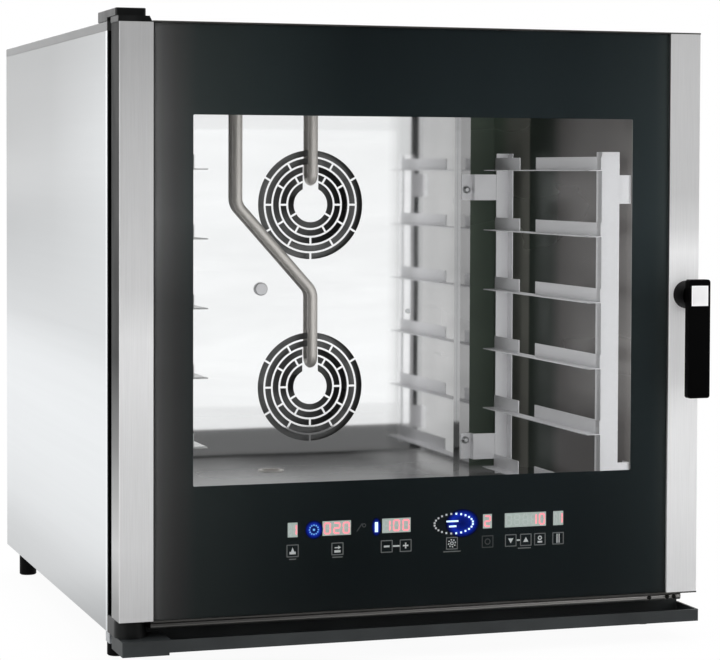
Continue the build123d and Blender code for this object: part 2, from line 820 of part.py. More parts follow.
# Water manifold: a bar on the tops of the steam tubes, fed by a pipe from the inlet valve.
valve_y = rear_inside_y - valve_size / 2
with BuildPart() as water_manifold:
    with BuildSketch(level_at(steam_top)):
        with Locations((-steam_tube_side / 2, steam_tube_y)):
            Rectangle(steam_tube_side + 2 * steam_tube_radius + manifold_size / 2, manifold_size)
    extrude(amount=manifold_size)
    pipe_z = steam_top + manifold_size / 2
    with BuildLine():
        FilletPolyline(
            (valve_x, steam_tube_y, pipe_z),
            (valve_x, valve_y, pipe_z),
            (valve_x, valve_y, valve_z + valve_size / 2),
            radius=pipe_setback,
        )
    with BuildSketch(Plane(origin=(valve_x, steam_tube_y, pipe_z), z_dir=(0, 1, 0))):
        Circle(water_pipe_radius)
    sweep()
water_manifold.part.label = "water_manifold"
export_step(water_manifold.part, "parts/water_manifold.step")

# Heaters: two turns of eight-sided tubular element round each fan, on three straps that stand on
# the liner's back. Two terminal rods on a flange pass out through the back.
heater_front_y = wheel_front_y + heater_turn_pitch / 2
for heater_name, height in fan_heights:
    with BuildPart() as heater:
        for turn in range(heater_turns):
            turn_y = heater_front_y + turn * heater_turn_pitch
            ring_plane = Plane(origin=(0, turn_y, height), x_dir=(1, 0, 0), z_dir=(0, 0, 1))
            with BuildSketch(ring_plane):
                with Locations((heater_ring_radius, 0)):
                    RegularPolygon(heater_tube_radius, heater_tube_sides)
            revolve(axis=Axis((0, turn_y, height), (0, 1, 0)))
        with BuildSketch(across(cavity_back_y)):
            with Locations((0, height)):
                with PolarLocations(heater_ring_radius, heater_straps, 30):
                    Rectangle(heater_strap_sheet, heater_strap_width)
        extrude(amount=cavity_back_y - heater_front_y + heater_tube_radius)
        terminals = heater_terminal_places[:2] if heater_name == "lower" else heater_terminal_places[2:]
        with BuildSketch(across(insulation_back_y + heater_terminal_reach)):
            with Locations(*terminals):
                Circle(heater_tube_radius)
        extrude(amount=insulation_back_y + heater_terminal_reach - heater_front_y)
        flange_x = (terminals[0][0] + terminals[1][0]) / 2
        with BuildSketch(across(cavity_back_y)):
            with Locations((flange_x, terminals[0][1])):
                RectangleRounded(heater_flange_width, heater_flange_height, heater_tube_radius)
        extrude(amount=heater_flange_thickness)
    heater.part.label = f"{heater_name}_heater"
    export_step(heater.part, f"parts/{heater_name}_heater.step")

# Motor plate: a sheet behind the insulation on six standoffs from the liner.
with BuildPart() as motor_plate:
    plate_half = motor_flange_radius + 2 * motor_plate_margin
    with BuildSketch(across(motor_plate_y)):
        with Locations((0, cavity_middle)):
            Rectangle(2 * plate_half, fan_spacing + 2 * plate_half)
        with Locations(*[(0, height) for _, height in fan_heights]):
            Circle(shaft_hole_radius, mode=Mode.SUBTRACT)
        with Locations((probe_x, probe_z)):
            Circle(probe_rod_radius + seat_gap, mode=Mode.SUBTRACT)
        with Locations(*heater_terminal_places):
            Circle(heater_tube_radius + seat_gap, mode=Mode.SUBTRACT)
    extrude(amount=motor_plate_sheet)
    with BuildSketch(across(insulation_back_y)):
        with Locations(*standoff_places):
            Circle(standoff_radius)
    extrude(amount=insulation_rear)
motor_plate.part.label = "motor_plate"
export_step(motor_plate.part, "parts/motor_plate.step")

# Fan motors: a finned body behind a round flange, bored for the fan's shaft.
for motor_name, height in fan_heights:
    with BuildPart() as fan_motor:
        with BuildSketch(across(motor_back_y)):
            with Locations((0, height)):
                Circle(motor_radius)
        extrude(amount=motor_length)
        chamfer(fan_motor.edges().group_by(Axis.Y)[-1], 2 * motor_fin_height)
        with BuildSketch(across(motor_back_y - 4 * motor_fin_height)):
            with Locations((0, height)):
                with PolarLocations(motor_radius, motor_fins):
                    Rectangle(2 * motor_fin_height, motor_fin_width)
        extrude(amount=motor_length - 4 * motor_fin_height)
        with BuildSketch(across(motor_plate_y + motor_flange_thickness)):
            with Locations((0, height)):
                Circle(motor_flange_radius)
        extrude(amount=motor_flange_thickness)
        with BuildSketch(across(motor_plate_y + motor_shaft_depth)):
            with Locations((0, height)):
                Circle(shaft_radius + running_gap)
        extrude(amount=motor_shaft_depth, mode=Mode.SUBTRACT)
    fan_motor.part.label = f"{motor_name}_fan_motor"
    export_step(fan_motor.part, f"parts/{motor_name}_fan_motor.step")

# Fan wheels: a back plate and a ring in front with blades between them, on a shaft that turns in
# the motor.
wheel_back_y = wheel_front_y + wheel_depth
for wheel_name, height in fan_heights:
    with BuildPart() as fan_wheel:
        with BuildSketch(across(wheel_back_y)):
            with Locations((0, height)):
                Circle(wheel_radius)
        extrude(amount=wheel_sheet)
        with BuildSketch(across(wheel_front_y + wheel_sheet)):
            with Locations((0, height)):
                Circle(wheel_radius)
                Circle(wheel_eye_radius, mode=Mode.SUBTRACT)
        extrude(amount=wheel_sheet)
        with BuildSketch(across(wheel_back_y)):
            with Locations((0, height)):
                with PolarLocations((wheel_radius + wheel_eye_radius) / 2, wheel_blades):
                    Rectangle(wheel_blade_chord, wheel_sheet, rotation=wheel_blade_sweep)
        extrude(amount=wheel_depth)
        with BuildSketch(across(motor_plate_y + motor_shaft_depth - swing_gap)):
            with Locations((0, height)):
                Circle(shaft_radius)
        extrude(amount=motor_plate_y + motor_shaft_depth - swing_gap - wheel_front_y)
        with BuildSketch(across(wheel_back_y)):
            with Locations((0, height)):
                Circle(wheel_hub_radius)
        extrude(amount=wheel_hub_length)
    fan_wheel.part.label = f"{wheel_name}_fan_wheel"
    export_step(fan_wheel.part, f"parts/{wheel_name}_fan_wheel.step")

# Temperature probe: a round head on the fan cover, with its rod through the back of the oven.
with BuildPart() as temperature_probe:
    with BuildSketch(across(fan_cover_y)):
        with Locations((probe_x, probe_z)):
            Circle(probe_head_radius)
    extrude(amount=probe_head_thickness)
    chamfer(temperature_probe.edges().group_by(Axis.Y)[0], probe_head_chamfer)
    with BuildSketch(across(motor_plate_y + probe_tail)):
        with Locations((probe_x, probe_z)):
            Circle(probe_rod_radius)
    extrude(amount=motor_plate_y + probe_tail - fan_cover_y)
temperature_probe.part.label = "temperature_probe"
export_step(temperature_probe.part, "parts/temperature_probe.step")

# Cavity fasteners: studs from the liner's back with domed nuts that hold the fan cover and the
# rear rack brackets, and a screw in the middle of the fan cover.
with BuildPart() as cavity_fasteners:
    nut_seat_y = fan_cover_y - fan_cover_fold - rack_sheet
    with BuildSketch(across(cavity_back_y)):
        with Locations(*nut_places):
            Circle(stud_radius)
    extrude(amount=cavity_back_y - nut_seat_y)
    with BuildSketch(across(nut_seat_y)):
        with Locations(*nut_places):
            Circle(nut_radius)
    extrude(amount=nut_height)
    chamfer(cavity_fasteners.edges().group_by(Axis.Y)[0], stud_radius)
    with BuildSketch(across(cavity_back_y)):
        with Locations((cover_screw_x, cover_screw_z)):
            Circle(cover_stud_radius)
    extrude(amount=cavity_back_y - fan_cover_y)
    with BuildSketch(across(fan_cover_y)):
        with Locations((cover_screw_x, cover_screw_z)):
            Circle(cover_screw_radius)
    extrude(amount=casing_screw_head)
cavity_fasteners.part.label = "cavity_fasteners"
export_step(cavity_fasteners.part, "parts/cavity_fasteners.step")

# Tray racks: six angled rails on two folded uprights. Each rail's upright leaf has a gap in it near
# the back, where only the ledge runs on.
for hand, rack_name in ((-1, "left"), (1, "right")):
    rail_x = hand * rack_rail_x
    upright_x = hand * rack_upright_x
    ledge_x = hand * (rack_rail_x - rail_ledge)
    front_outer_x = hand * (rack_upright_x + upright_width)
    rear_outer_x = hand * (rack_upright_x + rear_upright_width)
    rear_leaf_x = hand * (rack_upright_x + rear_upright_width - rack_sheet)
    with BuildPart() as tray_rack:
        with BuildSketch(level_at(upright_bottom)):
            with BuildLine():
                Polyline(
                    (upright_x, rack_front_y),
                    (front_outer_x, rack_front_y),
                    (front_outer_x, rack_front_y + rack_sheet),
                    (upright_x + hand * rack_sheet, rack_front_y + rack_sheet),
                    (upright_x + hand * rack_sheet, rack_front_y + upright_flange),
                    (upright_x, rack_front_y + upright_flange),
                    close=True,
                )
            make_face()
            with BuildLine():
                Polyline(
                    (upright_x, rack_back_y),
                    (rear_outer_x, rack_back_y),
                    (rear_outer_x, rack_back_y - upright_flange),
                    (rear_leaf_x, rack_back_y - upright_flange),
                    (rear_leaf_x, rack_back_y - rack_sheet),
                    (upright_x, rack_back_y - rack_sheet),
                    close=True,
                )
            make_face()
        extrude(amount=upright_top - upright_bottom)
        for rail_bottom in rack_rail_heights:
            with BuildSketch(level_at(rail_bottom)):
                with Locations(((rail_x + ledge_x) / 2, (rack_front_y + rack_back_y) / 2)):
                    Rectangle(rail_ledge, rack_depth)
            extrude(amount=rack_sheet)
            with BuildSketch(level_at(rail_bottom)):
                with Locations(((rail_x + upright_x) / 2, (rack_front_y + rack_back_y) / 2)):
                    Rectangle(rack_sheet, rack_depth)
                notch_middle = rack_front_y + rail_notch_start + rail_notch_length / 2
                with Locations(((rail_x + upright_x) / 2, notch_middle)):
                    Rectangle(rack_sheet, rail_notch_length, mode=Mode.SUBTRACT)
            extrude(amount=rail_height)
    tray_rack.part.label = f"{rack_name}_tray_rack"
    export_step(tray_rack.part, f"parts/{rack_name}_tray_rack.step")

# Rack brackets: angles from the front uprights to the side walls, and double folds from the rear
# uprights to the fan cover.
with BuildPart() as rack_brackets:
    wall_x = cavity_width / 2
    tab_y = fan_cover_y - fan_cover_fold
    tab_x = fan_cover_width / 2 + rack_sheet
    for bracket_middle in bracket_heights:
        with BuildSketch(level_at(bracket_middle - bracket_height / 2)):
            with BuildLine():
                Polyline(
                    (rack_upright_x + 2 * rack_sheet, rack_front_y + rack_sheet),
                    (wall_x, rack_front_y + rack_sheet),
                    (wall_x, rack_front_y + bracket_flange),
                    (wall_x - rack_sheet, rack_front_y + bracket_flange),
                    (wall_x - rack_sheet, rack_front_y + 2 * rack_sheet),
                    (rack_upright_x + 2 * rack_sheet, rack_front_y + 2 * rack_sheet),
                    close=True,
                )
            make_face()
            with BuildLine():
                Polyline(
                    (rack_upright_x + rear_upright_width, rack_back_y),
                    (tab_x + bracket_web_offset, rack_back_y),
                    (tab_x + bracket_web_offset, tab_y - rack_sheet),
                    (tab_x, tab_y - rack_sheet),
                    (tab_x, tab_y),
                    (tab_x + bracket_web_offset + rack_sheet, tab_y),
                    (tab_x + bracket_web_offset + rack_sheet, rack_back_y + rack_sheet),
                    (rack_upright_x + rear_upright_width, rack_back_y + rack_sheet),
                    close=True,
                )
            make_face()
            mirror(about=Plane.YZ)
        extrude(amount=bracket_height)
    with BuildSketch(across(tab_y)):
        with Locations(*nut_places):
            Circle(stud_radius + seat_gap)
    extrude(amount=rack_sheet, mode=Mode.SUBTRACT)
rack_brackets.part.label = "rack_brackets"
export_step(rack_brackets.part, "parts/rack_brackets.step")

# Cavity lamp: a glass dome in a flanged ring on the left wall, with its housing in the insulation.
with BuildPart() as cavity_lamp:
    lamp_y = casing_front_y + lamp_depth
    with BuildSketch(Plane.YZ.offset(-cavity_width / 2)):
        with Locations((lamp_y, lamp_height)):
            Circle(lamp_radius + lamp_flange)
    extrude(amount=liner_sheet)
    with BuildSketch(Plane.YZ.offset(-cavity_width / 2)):
        with Locations((lamp_y, lamp_height)):
            Circle(lamp_radius - liner_sheet - seat_gap)
    extrude(amount=lamp_lens_rise)
    fillet(cavity_lamp.edges().group_by(Axis.X)[-1], lamp_lens_rise / 2)
    with BuildSketch(Plane.YZ.offset(-cavity_width / 2 - liner_sheet)):
        with Locations((lamp_y, lamp_height)):
            Circle(lamp_radius - liner_sheet - seat_gap)
    extrude(amount=liner_sheet)
    with BuildSketch(Plane.YZ.offset(-cavity_width / 2 - liner_sheet - lamp_housing_depth)):
        with Locations((lamp_y, lamp_height)):
            Circle(lamp_radius)
    extrude(amount=lamp_housing_depth)
cavity_lamp.part.label = "cavity_lamp"
export_step(cavity_lamp.part, "parts/cavity_lamp.step")

# Drain pipe: from a rim on the cavity floor down through the insulation and out at the back, with a
# collar on the back panel.
with BuildPart() as drain_pipe:
    drain_y = casing_front_y + drain_depth
    with BuildLine():
        FilletPolyline(
            (0, drain_y, cavity_floor),
            (0, drain_y, drain_height),
            (0, casing_back_y + fitting_reach, drain_height),
            radius=drain_bend,
        )
    with BuildSketch(Plane(origin=(0, drain_y, cavity_floor), z_dir=(0, 0, -1))):
        Circle(drain_radius)
        Circle(drain_radius - drain_wall, mode=Mode.SUBTRACT)
    sweep()
    with BuildSketch(level_at(cavity_floor)):
        with Locations((0, drain_y)):
            Circle(drain_radius + drain_rim)
            Circle(drain_radius - drain_wall, mode=Mode.SUBTRACT)
    extrude(amount=drain_wall)
    with BuildSketch(across(back_panel_y + drain_collar_thickness)):
        with Locations((0, drain_height)):
            Circle(drain_radius + drain_collar)
            Circle(drain_radius - drain_wall, mode=Mode.SUBTRACT)
    extrude(amount=drain_collar_thickness)
drain_pipe.part.label = "drain_pipe"
export_step(drain_pipe.part, "parts/drain_pipe.step")

# Exhaust chimney: from the back of the cavity up through the top cover, with a collar on the cover.
with BuildPart() as exhaust_chimney:
    exhaust_z = cavity_ceiling - exhaust_below_ceiling
    with BuildLine():
        FilletPolyline(
            (exhaust_x, cavity_back_y, exhaust_z),
            (exhaust_x, exhaust_y, exhaust_z),
            (exhaust_x, exhaust_y, casing_top + exhaust_rise),
            radius=exhaust_bend,
        )
    with BuildSketch(Plane(origin=(exhaust_x, cavity_back_y, exhaust_z), z_dir=(0, 1, 0))):
        Circle(exhaust_radius)
        Circle(exhaust_radius - exhaust_wall, mode=Mode.SUBTRACT)
    sweep()
    with BuildSketch(level_at(casing_top)):
        with Locations((exhaust_x, exhaust_y)):
            Circle(exhaust_collar_radius)
            Circle(exhaust_radius - exhaust_wall, mode=Mode.SUBTRACT)
    extrude(amount=exhaust_collar_thickness)
    with BuildSketch(across(cavity_back_y)):
        with Locations((exhaust_x, exhaust_z)):
            Circle(exhaust_radius + exhaust_rim)
            Circle(exhaust_radius - exhaust_wall, mode=Mode.SUBTRACT)
    extrude(amount=exhaust_wall)
exhaust_chimney.part.label = "exhaust_chimney"
export_step(exhaust_chimney.part, "parts/exhaust_chimney.step")

# Water valve: a block inside the back panel with a threaded nose that the supply screws onto, and
# a locknut outside the panel.
with BuildPart() as water_valve:
    with BuildSketch(across(rear_inside_y)):
        with Locations((valve_x, valve_z)):
            Rectangle(valve_size, valve_size)
    extrude(amount=valve_size)
    with BuildSketch(across(casing_back_y + fitting_reach)):
        with Locations((valve_x, valve_z)):
            Circle(valve_thread_radius)
    extrude(amount=casing_back_y + fitting_reach - rear_inside_y)
    with BuildSketch(across(back_panel_y + valve_nut_height)):
        with Locations((valve_x, valve_z)):
            RegularPolygon(valve_nut_radius, 6)
    extrude(amount=valve_nut_height)
    with BuildSketch(across(casing_back_y + fitting_reach)):
        with Locations((valve_x, valve_z)):
            Circle(valve_bore_radius)
    extrude(amount=fitting_reach, mode=Mode.SUBTRACT)
water_valve.part.label = "water_valve"
export_step(water_valve.part, "parts/water_valve.step")

# Cable gland: a clamping dome outside the back panel, and a locknut inside it.
with BuildPart() as cable_gland:
    with BuildSketch(across(rear_inside_y)):
        with Locations((gland_x, gland_z)):
            RegularPolygon(gland_nut_radius, 6)
    extrude(amount=gland_nut_height)
    with BuildSketch(across(back_panel_y)):
        with Locations((gland_x, gland_z)):
            Circle(gland_thread_radius)
    extrude(amount=casing_sheet)
    with BuildSketch(across(back_panel_y + gland_dome_reach)):
        with Locations((gland_x, gland_z)):
            Circle(gland_nut_radius)
    extrude(amount=gland_dome_reach)
    chamfer(cable_gland.edges().group_by(Axis.Y)[-1], gland_nut_height / 2)
    with BuildSketch(across(back_panel_y + gland_dome_reach)):
        with Locations((gland_x, gland_z)):
            Circle(gland_bore_radius)
    extrude(amount=gland_dome_reach + casing_sheet + gland_nut_height, mode=Mode.SUBTRACT)
cable_gland.part.label = "cable_gland"
export_step(cable_gland.part, "parts/cable_gland.step")

# Power board: a circuit board on four posts inside the back panel, with relays and a terminal strip.
with BuildPart() as power_board:
    board_front_y = rear_inside_y - power_board_standoff - board_thickness
    with BuildSketch(across(rear_inside_y - power_board_standoff)):
        with Locations((board_x, board_z)):
            Rectangle(power_board_width, power_board_height)
    extrude(amount=board_thickness)
    post_spread = power_board_width - 2 * board_margin
    post_rise = power_board_height - 2 * board_margin
    with BuildSketch(across(rear_inside_y)):
        with Locations((board_x, board_z)):
            with GridLocations(post_spread, post_rise, 2, 2):
                Circle(board_post_radius)
    extrude(amount=power_board_standoff)
    with BuildSketch(across(board_front_y)):
        with Locations((board_x, board_z + relay_size)):
            with GridLocations(1.4 * relay_size, 0, 4, 1):
                Rectangle(relay_size, relay_size)
        with Locations((board_x, board_z - relay_size)):
            Rectangle(power_board_width - 4 * board_margin, relay_size / 2)
    extrude(amount=relay_height)
power_board.part.label = "power_board"
export_step(power_board.part, "parts/power_board.step")

# Cooling fan frame: a square frame inside the back panel, with a hub on three struts that carries
# the rotor's pin.
with BuildPart() as cooling_fan_frame:
    with BuildSketch(across(rear_inside_y)):
        with Locations((cooling_x, cooling_z)):
            RectangleRounded(cooling_size, cooling_size, cooling_strut)
            Circle(cooling_bore_radius, mode=Mode.SUBTRACT)
    extrude(amount=cooling_thickness)
    with BuildSketch(across(rear_inside_y)):
        with Locations((cooling_x, cooling_z)):
            with PolarLocations((cooling_bore_radius + cooling_spider) / 2, 3, 90):
                Rectangle(cooling_bore_radius + cooling_spider, cooling_strut)
            Circle(cooling_hub_radius)
    extrude(amount=cooling_spider)
    with BuildSketch(across(rear_inside_y)):
        with Locations((cooling_x, cooling_z)):
            Circle(cooling_pin_radius)
    extrude(amount=cooling_thickness - 2 * cooling_spider)
cooling_fan_frame.part.label = "cooling_fan_frame"
export_step(cooling_fan_frame.part, "parts/cooling_fan_frame.step")

# Cooling fan rotor: a cup bored for the pin, with seven pitched blades.
with BuildPart() as cooling_fan_rotor:
    rotor_back_y = rear_inside_y - cooling_spider - seat_gap
    rotor_length = cooling_thickness - cooling_spider - 2 * swing_gap
    with BuildSketch(across(rotor_back_y)):
        with Locations((cooling_x, cooling_z)):
            Circle(cooling_hub_radius)
    extrude(amount=rotor_length)
    blade_root = cooling_hub_radius - cooling_blade_sheet
    blade_length = cooling_bore_radius - 2 * swing_gap - blade_root
    blade_middle = blade_root + blade_length / 2
    blade_turn = (cooling_blade_pitch, 0, 0)
    rotor_middle_y = rotor_back_y - rotor_length / 2
    with Locations(Plane(origin=(cooling_x, rotor_middle_y, cooling_z), x_dir=(1, 0, 0), z_dir=(0, -1, 0))):
        with PolarLocations(blade_middle, cooling_blades):
            Box(blade_length, cooling_blade_chord, cooling_blade_sheet, rotation=blade_turn)
    with BuildSketch(across(rotor_back_y)):
        with Locations((cooling_x, cooling_z)):
            Circle(cooling_pin_radius + running_gap)
    extrude(amount=cooling_thickness - 3 * cooling_spider, mode=Mode.SUBTRACT)
cooling_fan_rotor.part.label = "cooling_fan_rotor"
export_step(cooling_fan_rotor.part, "parts/cooling_fan_rotor.step")

# Top hinge bracket: a cap on the cover's front left corner, with an arm over the door.
with BuildPart() as hinge_top_bracket:
    cap_left_x = -casing_width / 2
    cap_front_y = hinge_y - cap_overhang
    cap_back_y = casing_front_y + cap_seat_depth
    with BuildSketch(level_at(casing_top)):
        with Locations((cap_left_x + cap_width / 2, (cap_front_y + cap_back_y) / 2)):
            Rectangle(cap_width, cap_back_y - cap_front_y)
    extrude(amount=cap_thickness)
    fillet(hinge_top_bracket.edges().filter_by(Axis.Z).group_by(Axis.Y)[0], cap_corner_radius)
    fillet(hinge_top_bracket.edges().group_by(Axis.Z)[-1], cap_edge_radius)
    with BuildSketch(level_at(casing_top)):
        with Locations((cap_left_x + cap_width / 2, (cap_front_y + casing_front_y) / 2)):
            Rectangle(cap_width, casing_front_y - cap_front_y)
    extrude(amount=cap_thickness - cap_arm_thickness, mode=Mode.SUBTRACT)
    with BuildSketch(level_at(casing_top)):
        with Locations((hinge_x, hinge_y)):
            Circle(hinge_pin_radius + running_gap)
    extrude(amount=cap_thickness - cap_edge_radius, mode=Mode.SUBTRACT)
hinge_top_bracket.part.label = "hinge_top_bracket"
export_step(hinge_top_bracket.part, "parts/hinge_top_bracket.step")

# Bottom hinge bracket: a block on the front frame, rounded about the hinge line.
with BuildPart() as hinge_bottom_bracket:
    block_bottom = tray_top + seat_gap
    block_top = door_bottom - seat_gap
    with BuildSketch(level_at(block_bottom)):
        with Locations((hinge_x, hinge_y)):
            Circle(hinge_block_width / 2)
        with Locations((hinge_x, (hinge_y + casing_front_y) / 2)):
            Rectangle(hinge_block_width, casing_front_y - hinge_y)
    extrude(amount=block_top - block_bottom)
    chamfer(hinge_bottom_bracket.edges().group_by(Axis.Z)[-1], hinge_block_edge_radius)
    with BuildSketch(level_at(block_top)):
        with Locations((hinge_x, hinge_y)):
            Circle(hinge_pin_radius + running_gap)
    extrude(amount=-(block_top - block_bottom - profile_wall), mode=Mode.SUBTRACT)
hinge_bottom_bracket.part.label = "hinge_bottom_bracket"
export_step(hinge_bottom_bracket.part, "parts/hinge_bottom_bracket.step")

# Hinge pins: one held in each hinge bracket, reaching into the door.
with BuildPart() as hinge_pins:
    top_pin_bottom = door_top - hinge_pin_reach
    bottom_pin_bottom = block_bottom + profile_wall
    with BuildSketch(level_at(top_pin_bottom)):
        with Locations((hinge_x, hinge_y)):
            Circle(hinge_pin_radius)
    extrude(amount=casing_top + cap_thickness - cap_edge_radius - top_pin_bottom)
    with BuildSketch(level_at(bottom_pin_bottom)):
        with Locations((hinge_x, hinge_y)):
            Circle(hinge_pin_radius)
    extrude(amount=door_bottom + hinge_pin_reach - bottom_pin_bottom)
hinge_pins.part.label = "hinge_pins"
export_step(hinge_pins.part, "parts/hinge_pins.step")

# Latch keeper: a plate on the front frame whose arm ends in a lip in front of the latch hook.
with BuildPart() as latch_keeper:
    keeper_top = handle_z - hook_length + keeper_lap
    keeper_arm_top = handle_z - hook_length - keeper_sheet
    keeper_arm_bottom = keeper_arm_top - keeper_sheet
    keeper_lip_y = hook_y - keeper_lip_gap
    with BuildSketch(Plane.YZ.offset(handle_x - keeper_width / 2)):
        with BuildLine():
            Polyline(
                (casing_front_y, keeper_arm_bottom),
                (keeper_lip_y - keeper_sheet, keeper_arm_bottom),
                (keeper_lip_y - keeper_sheet, keeper_top),
                (keeper_lip_y, keeper_top),
                (keeper_lip_y, keeper_arm_top),
                (casing_front_y - keeper_sheet, keeper_arm_top),
                (casing_front_y - keeper_sheet, keeper_arm_bottom + keeper_base_height),
                (casing_front_y, keeper_arm_bottom + keeper_base_height),
                close=True,
            )
        make_face()
    extrude(amount=keeper_width)
latch_keeper.part.label = "latch_keeper"
export_step(latch_keeper.part, "parts/latch_keeper.step")

# Drip tray: a moulded trough below the door, deeper at its left end, with a raised back wall and two
# lugs behind it.
with BuildPart() as drip_tray:
    tray_middle_y = (tray_front_y + tray_back_y) / 2
    tray_bottom = tray_top - tray_height
    with BuildSketch(across(tray_back_y)):
        with BuildLine():
            Polyline(
                (-tray_width / 2, tray_top),
                (-tray_width / 2, tray_bottom - tray_end_drop),
                (tray_end_width - tray_width / 2, tray_bottom - tray_end_drop),
                (tray_end_width - tray_width / 2, tray_bottom),
                (tray_width / 2, tray_bottom),
                (tray_width / 2, tray_top),
                close=True,
            )
        make_face()
    extrude(amount=tray_depth)
    end_edges = drip_tray.edges().filter_by(Axis.Z)
    fillet(end_edges.group_by(Axis.X)[0] + end_edges.group_by(Axis.X)[-1], tray_edge_radius)
    with BuildSketch(level_at(tray_top - tray_trough)):
        with Locations((tray_end_width / 2, tray_middle_y)):
            RectangleRounded(
                tray_width - tray_end_width - 2 * tray_wall, tray_depth - 2 * tray_wall, tray_wall
            )
    extrude(amount=tray_trough, mode=Mode.SUBTRACT)
    with BuildSketch(level_at(tray_top)):
        with Locations((tray_end_width / 2, tray_back_y - tray_wall / 2)):
            Rectangle(tray_width - tray_end_width - 2 * tray_wall, tray_wall)
    extrude(amount=tray_back_rise)
    lug_reach = base_front_y - seat_gap - tray_back_y
    with BuildSketch(level_at(tray_bottom + tray_wall)):
        for hand in (-1, 1):
            with Locations((hand * (base_half - tray_bracket_width / 2), tray_back_y + lug_reach / 2)):
                Rectangle(tray_lug_width, lug_reach)
    extrude(amount=tray_lug_height)
drip_tray.part.label = "drip_tray"
export_step(drip_tray.part, "parts/drip_tray.step")

# Casing screws: low heads down the rear returns, through into the back panel.
with BuildPart() as casing_screws:
    with BuildSketch(across(casing_back_y + casing_screw_head)):
        with Locations(*casing_screw_places):
            Circle(casing_screw_radius)
    extrude(amount=casing_screw_head)
    chamfer(casing_screws.edges().group_by(Axis.Y)[-1], casing_screw_head / 2)
    with BuildSketch(across(casing_back_y)):
        with Locations(*casing_screw_places):
            Circle(casing_screw_shank)
    extrude(amount=casing_screw_reach)
casing_screws.part.label = "casing_screws"
export_step(casing_screws.part, "parts/casing_screws.step")

# Door profiles: a channel down each side of the door, open inwards, with a lip behind the outer
# glass and a solid block at each end. The left one is bored for the hinge pins, and the right one
# for the handle's bush.
for hand, profile_name in ((-1, "left"), (1, "right")):
    outer_x = hand * door_half
    outer_in_x = hand * (door_half - profile_wall)
    inner_x = hand * profile_inner_x
    inner_out_x = hand * (profile_inner_x + profile_wall)
    lip_x = hand * (profile_inner_x - profile_lip)
    front_y = door_face_y + trim_sheet
    lip_back_y = rail_front_y + profile_lip_sheet
    with BuildPart() as door_profile:
        with BuildSketch(level_at(door_bottom)):
            with BuildLine():
                Polyline(
                    (outer_x, front_y),
                    (inner_x, front_y),
                    (inner_x, lip_back_y),
                    (inner_out_x, lip_back_y),
                    (inner_out_x, front_y + profile_wall),
                    (outer_in_x, front_y + profile_wall),
                    (outer_in_x, door_back_y - profile_wall),
                    (inner_x, door_back_y - profile_wall),
                    (inner_x, door_back_y),
                    (outer_x, door_back_y),
                    close=True,
                )
            make_face()
        extrude(amount=door_height)
        with BuildSketch(level_at(door_bottom + door_rail_height + seat_gap)):
            with Locations(((inner_x + lip_x) / 2, (rail_front_y + lip_back_y) / 2)):
                Rectangle(profile_lip, profile_lip_sheet)
        extrude(amount=door_height - 2 * (door_rail_height + seat_gap))
        for block_z in (door_bottom, door_top - profile_block):
            with BuildSketch(level_at(block_z)):
                with Locations(((outer_x + inner_x) / 2, (front_y + door_back_y) / 2)):
                    Rectangle(profile_width, door_back_y - front_y)
            extrude(amount=profile_block)
        if hand < 0:
            with BuildSketch(level_at(door_bottom)):
                with Locations((hinge_x, hinge_y)):
                    Circle(hinge_pin_radius + running_gap)
            extrude(amount=hinge_pin_reach + swing_gap, mode=Mode.SUBTRACT)
            with BuildSketch(level_at(door_top - hinge_pin_reach - swing_gap)):
                with Locations((hinge_x, hinge_y)):
                    Circle(hinge_pin_radius + running_gap)
            extrude(amount=hinge_pin_reach + swing_gap, mode=Mode.SUBTRACT)
        else:
            with BuildSketch(across(door_back_y)):
                with Locations((handle_x, handle_z)):
                    Circle(sleeve_radius + running_gap)
            extrude(amount=door_frame_depth, mode=Mode.SUBTRACT)
    door_profile.part.label = f"{profile_name}_door_profile"
    export_step(door_profile.part, f"parts/{profile_name}_door_profile.step")

# Door trims: the stainless strips down the front of the profiles, folded in beside the glass.
for hand, trim_name in ((-1, "left"), (1, "right")):
    with BuildPart() as door_trim:
        with BuildSketch(level_at(door_bottom)):
            with BuildLine():
                Polyline(
                    (hand * door_half, door_face_y),
                    (hand * trim_inner_x, door_face_y),
                    (hand * trim_inner_x, door_face_y + trim_sheet + trim_return),
                    (hand * (trim_inner_x + trim_sheet), door_face_y + trim_sheet + trim_return),
                    (hand * (trim_inner_x + trim_sheet), door_face_y + trim_sheet),
                    (hand * door_half, door_face_y + trim_sheet),
                    close=True,
                )
            make_face()
        extrude(amount=door_height)
        fillet(door_trim.edges().filter_by(Axis.Z).group_by(Axis.Y)[0], trim_edge_radius)
        if hand > 0:
            with BuildSketch(across(door_face_y + trim_sheet)):
                with Locations((handle_x, handle_z)):
                    Circle(sleeve_radius + running_gap)
            extrude(amount=trim_sheet, mode=Mode.SUBTRACT)
    door_trim.part.label = f"{trim_name}_door_trim"
    export_step(door_trim.part, f"parts/{trim_name}_door_trim.step")

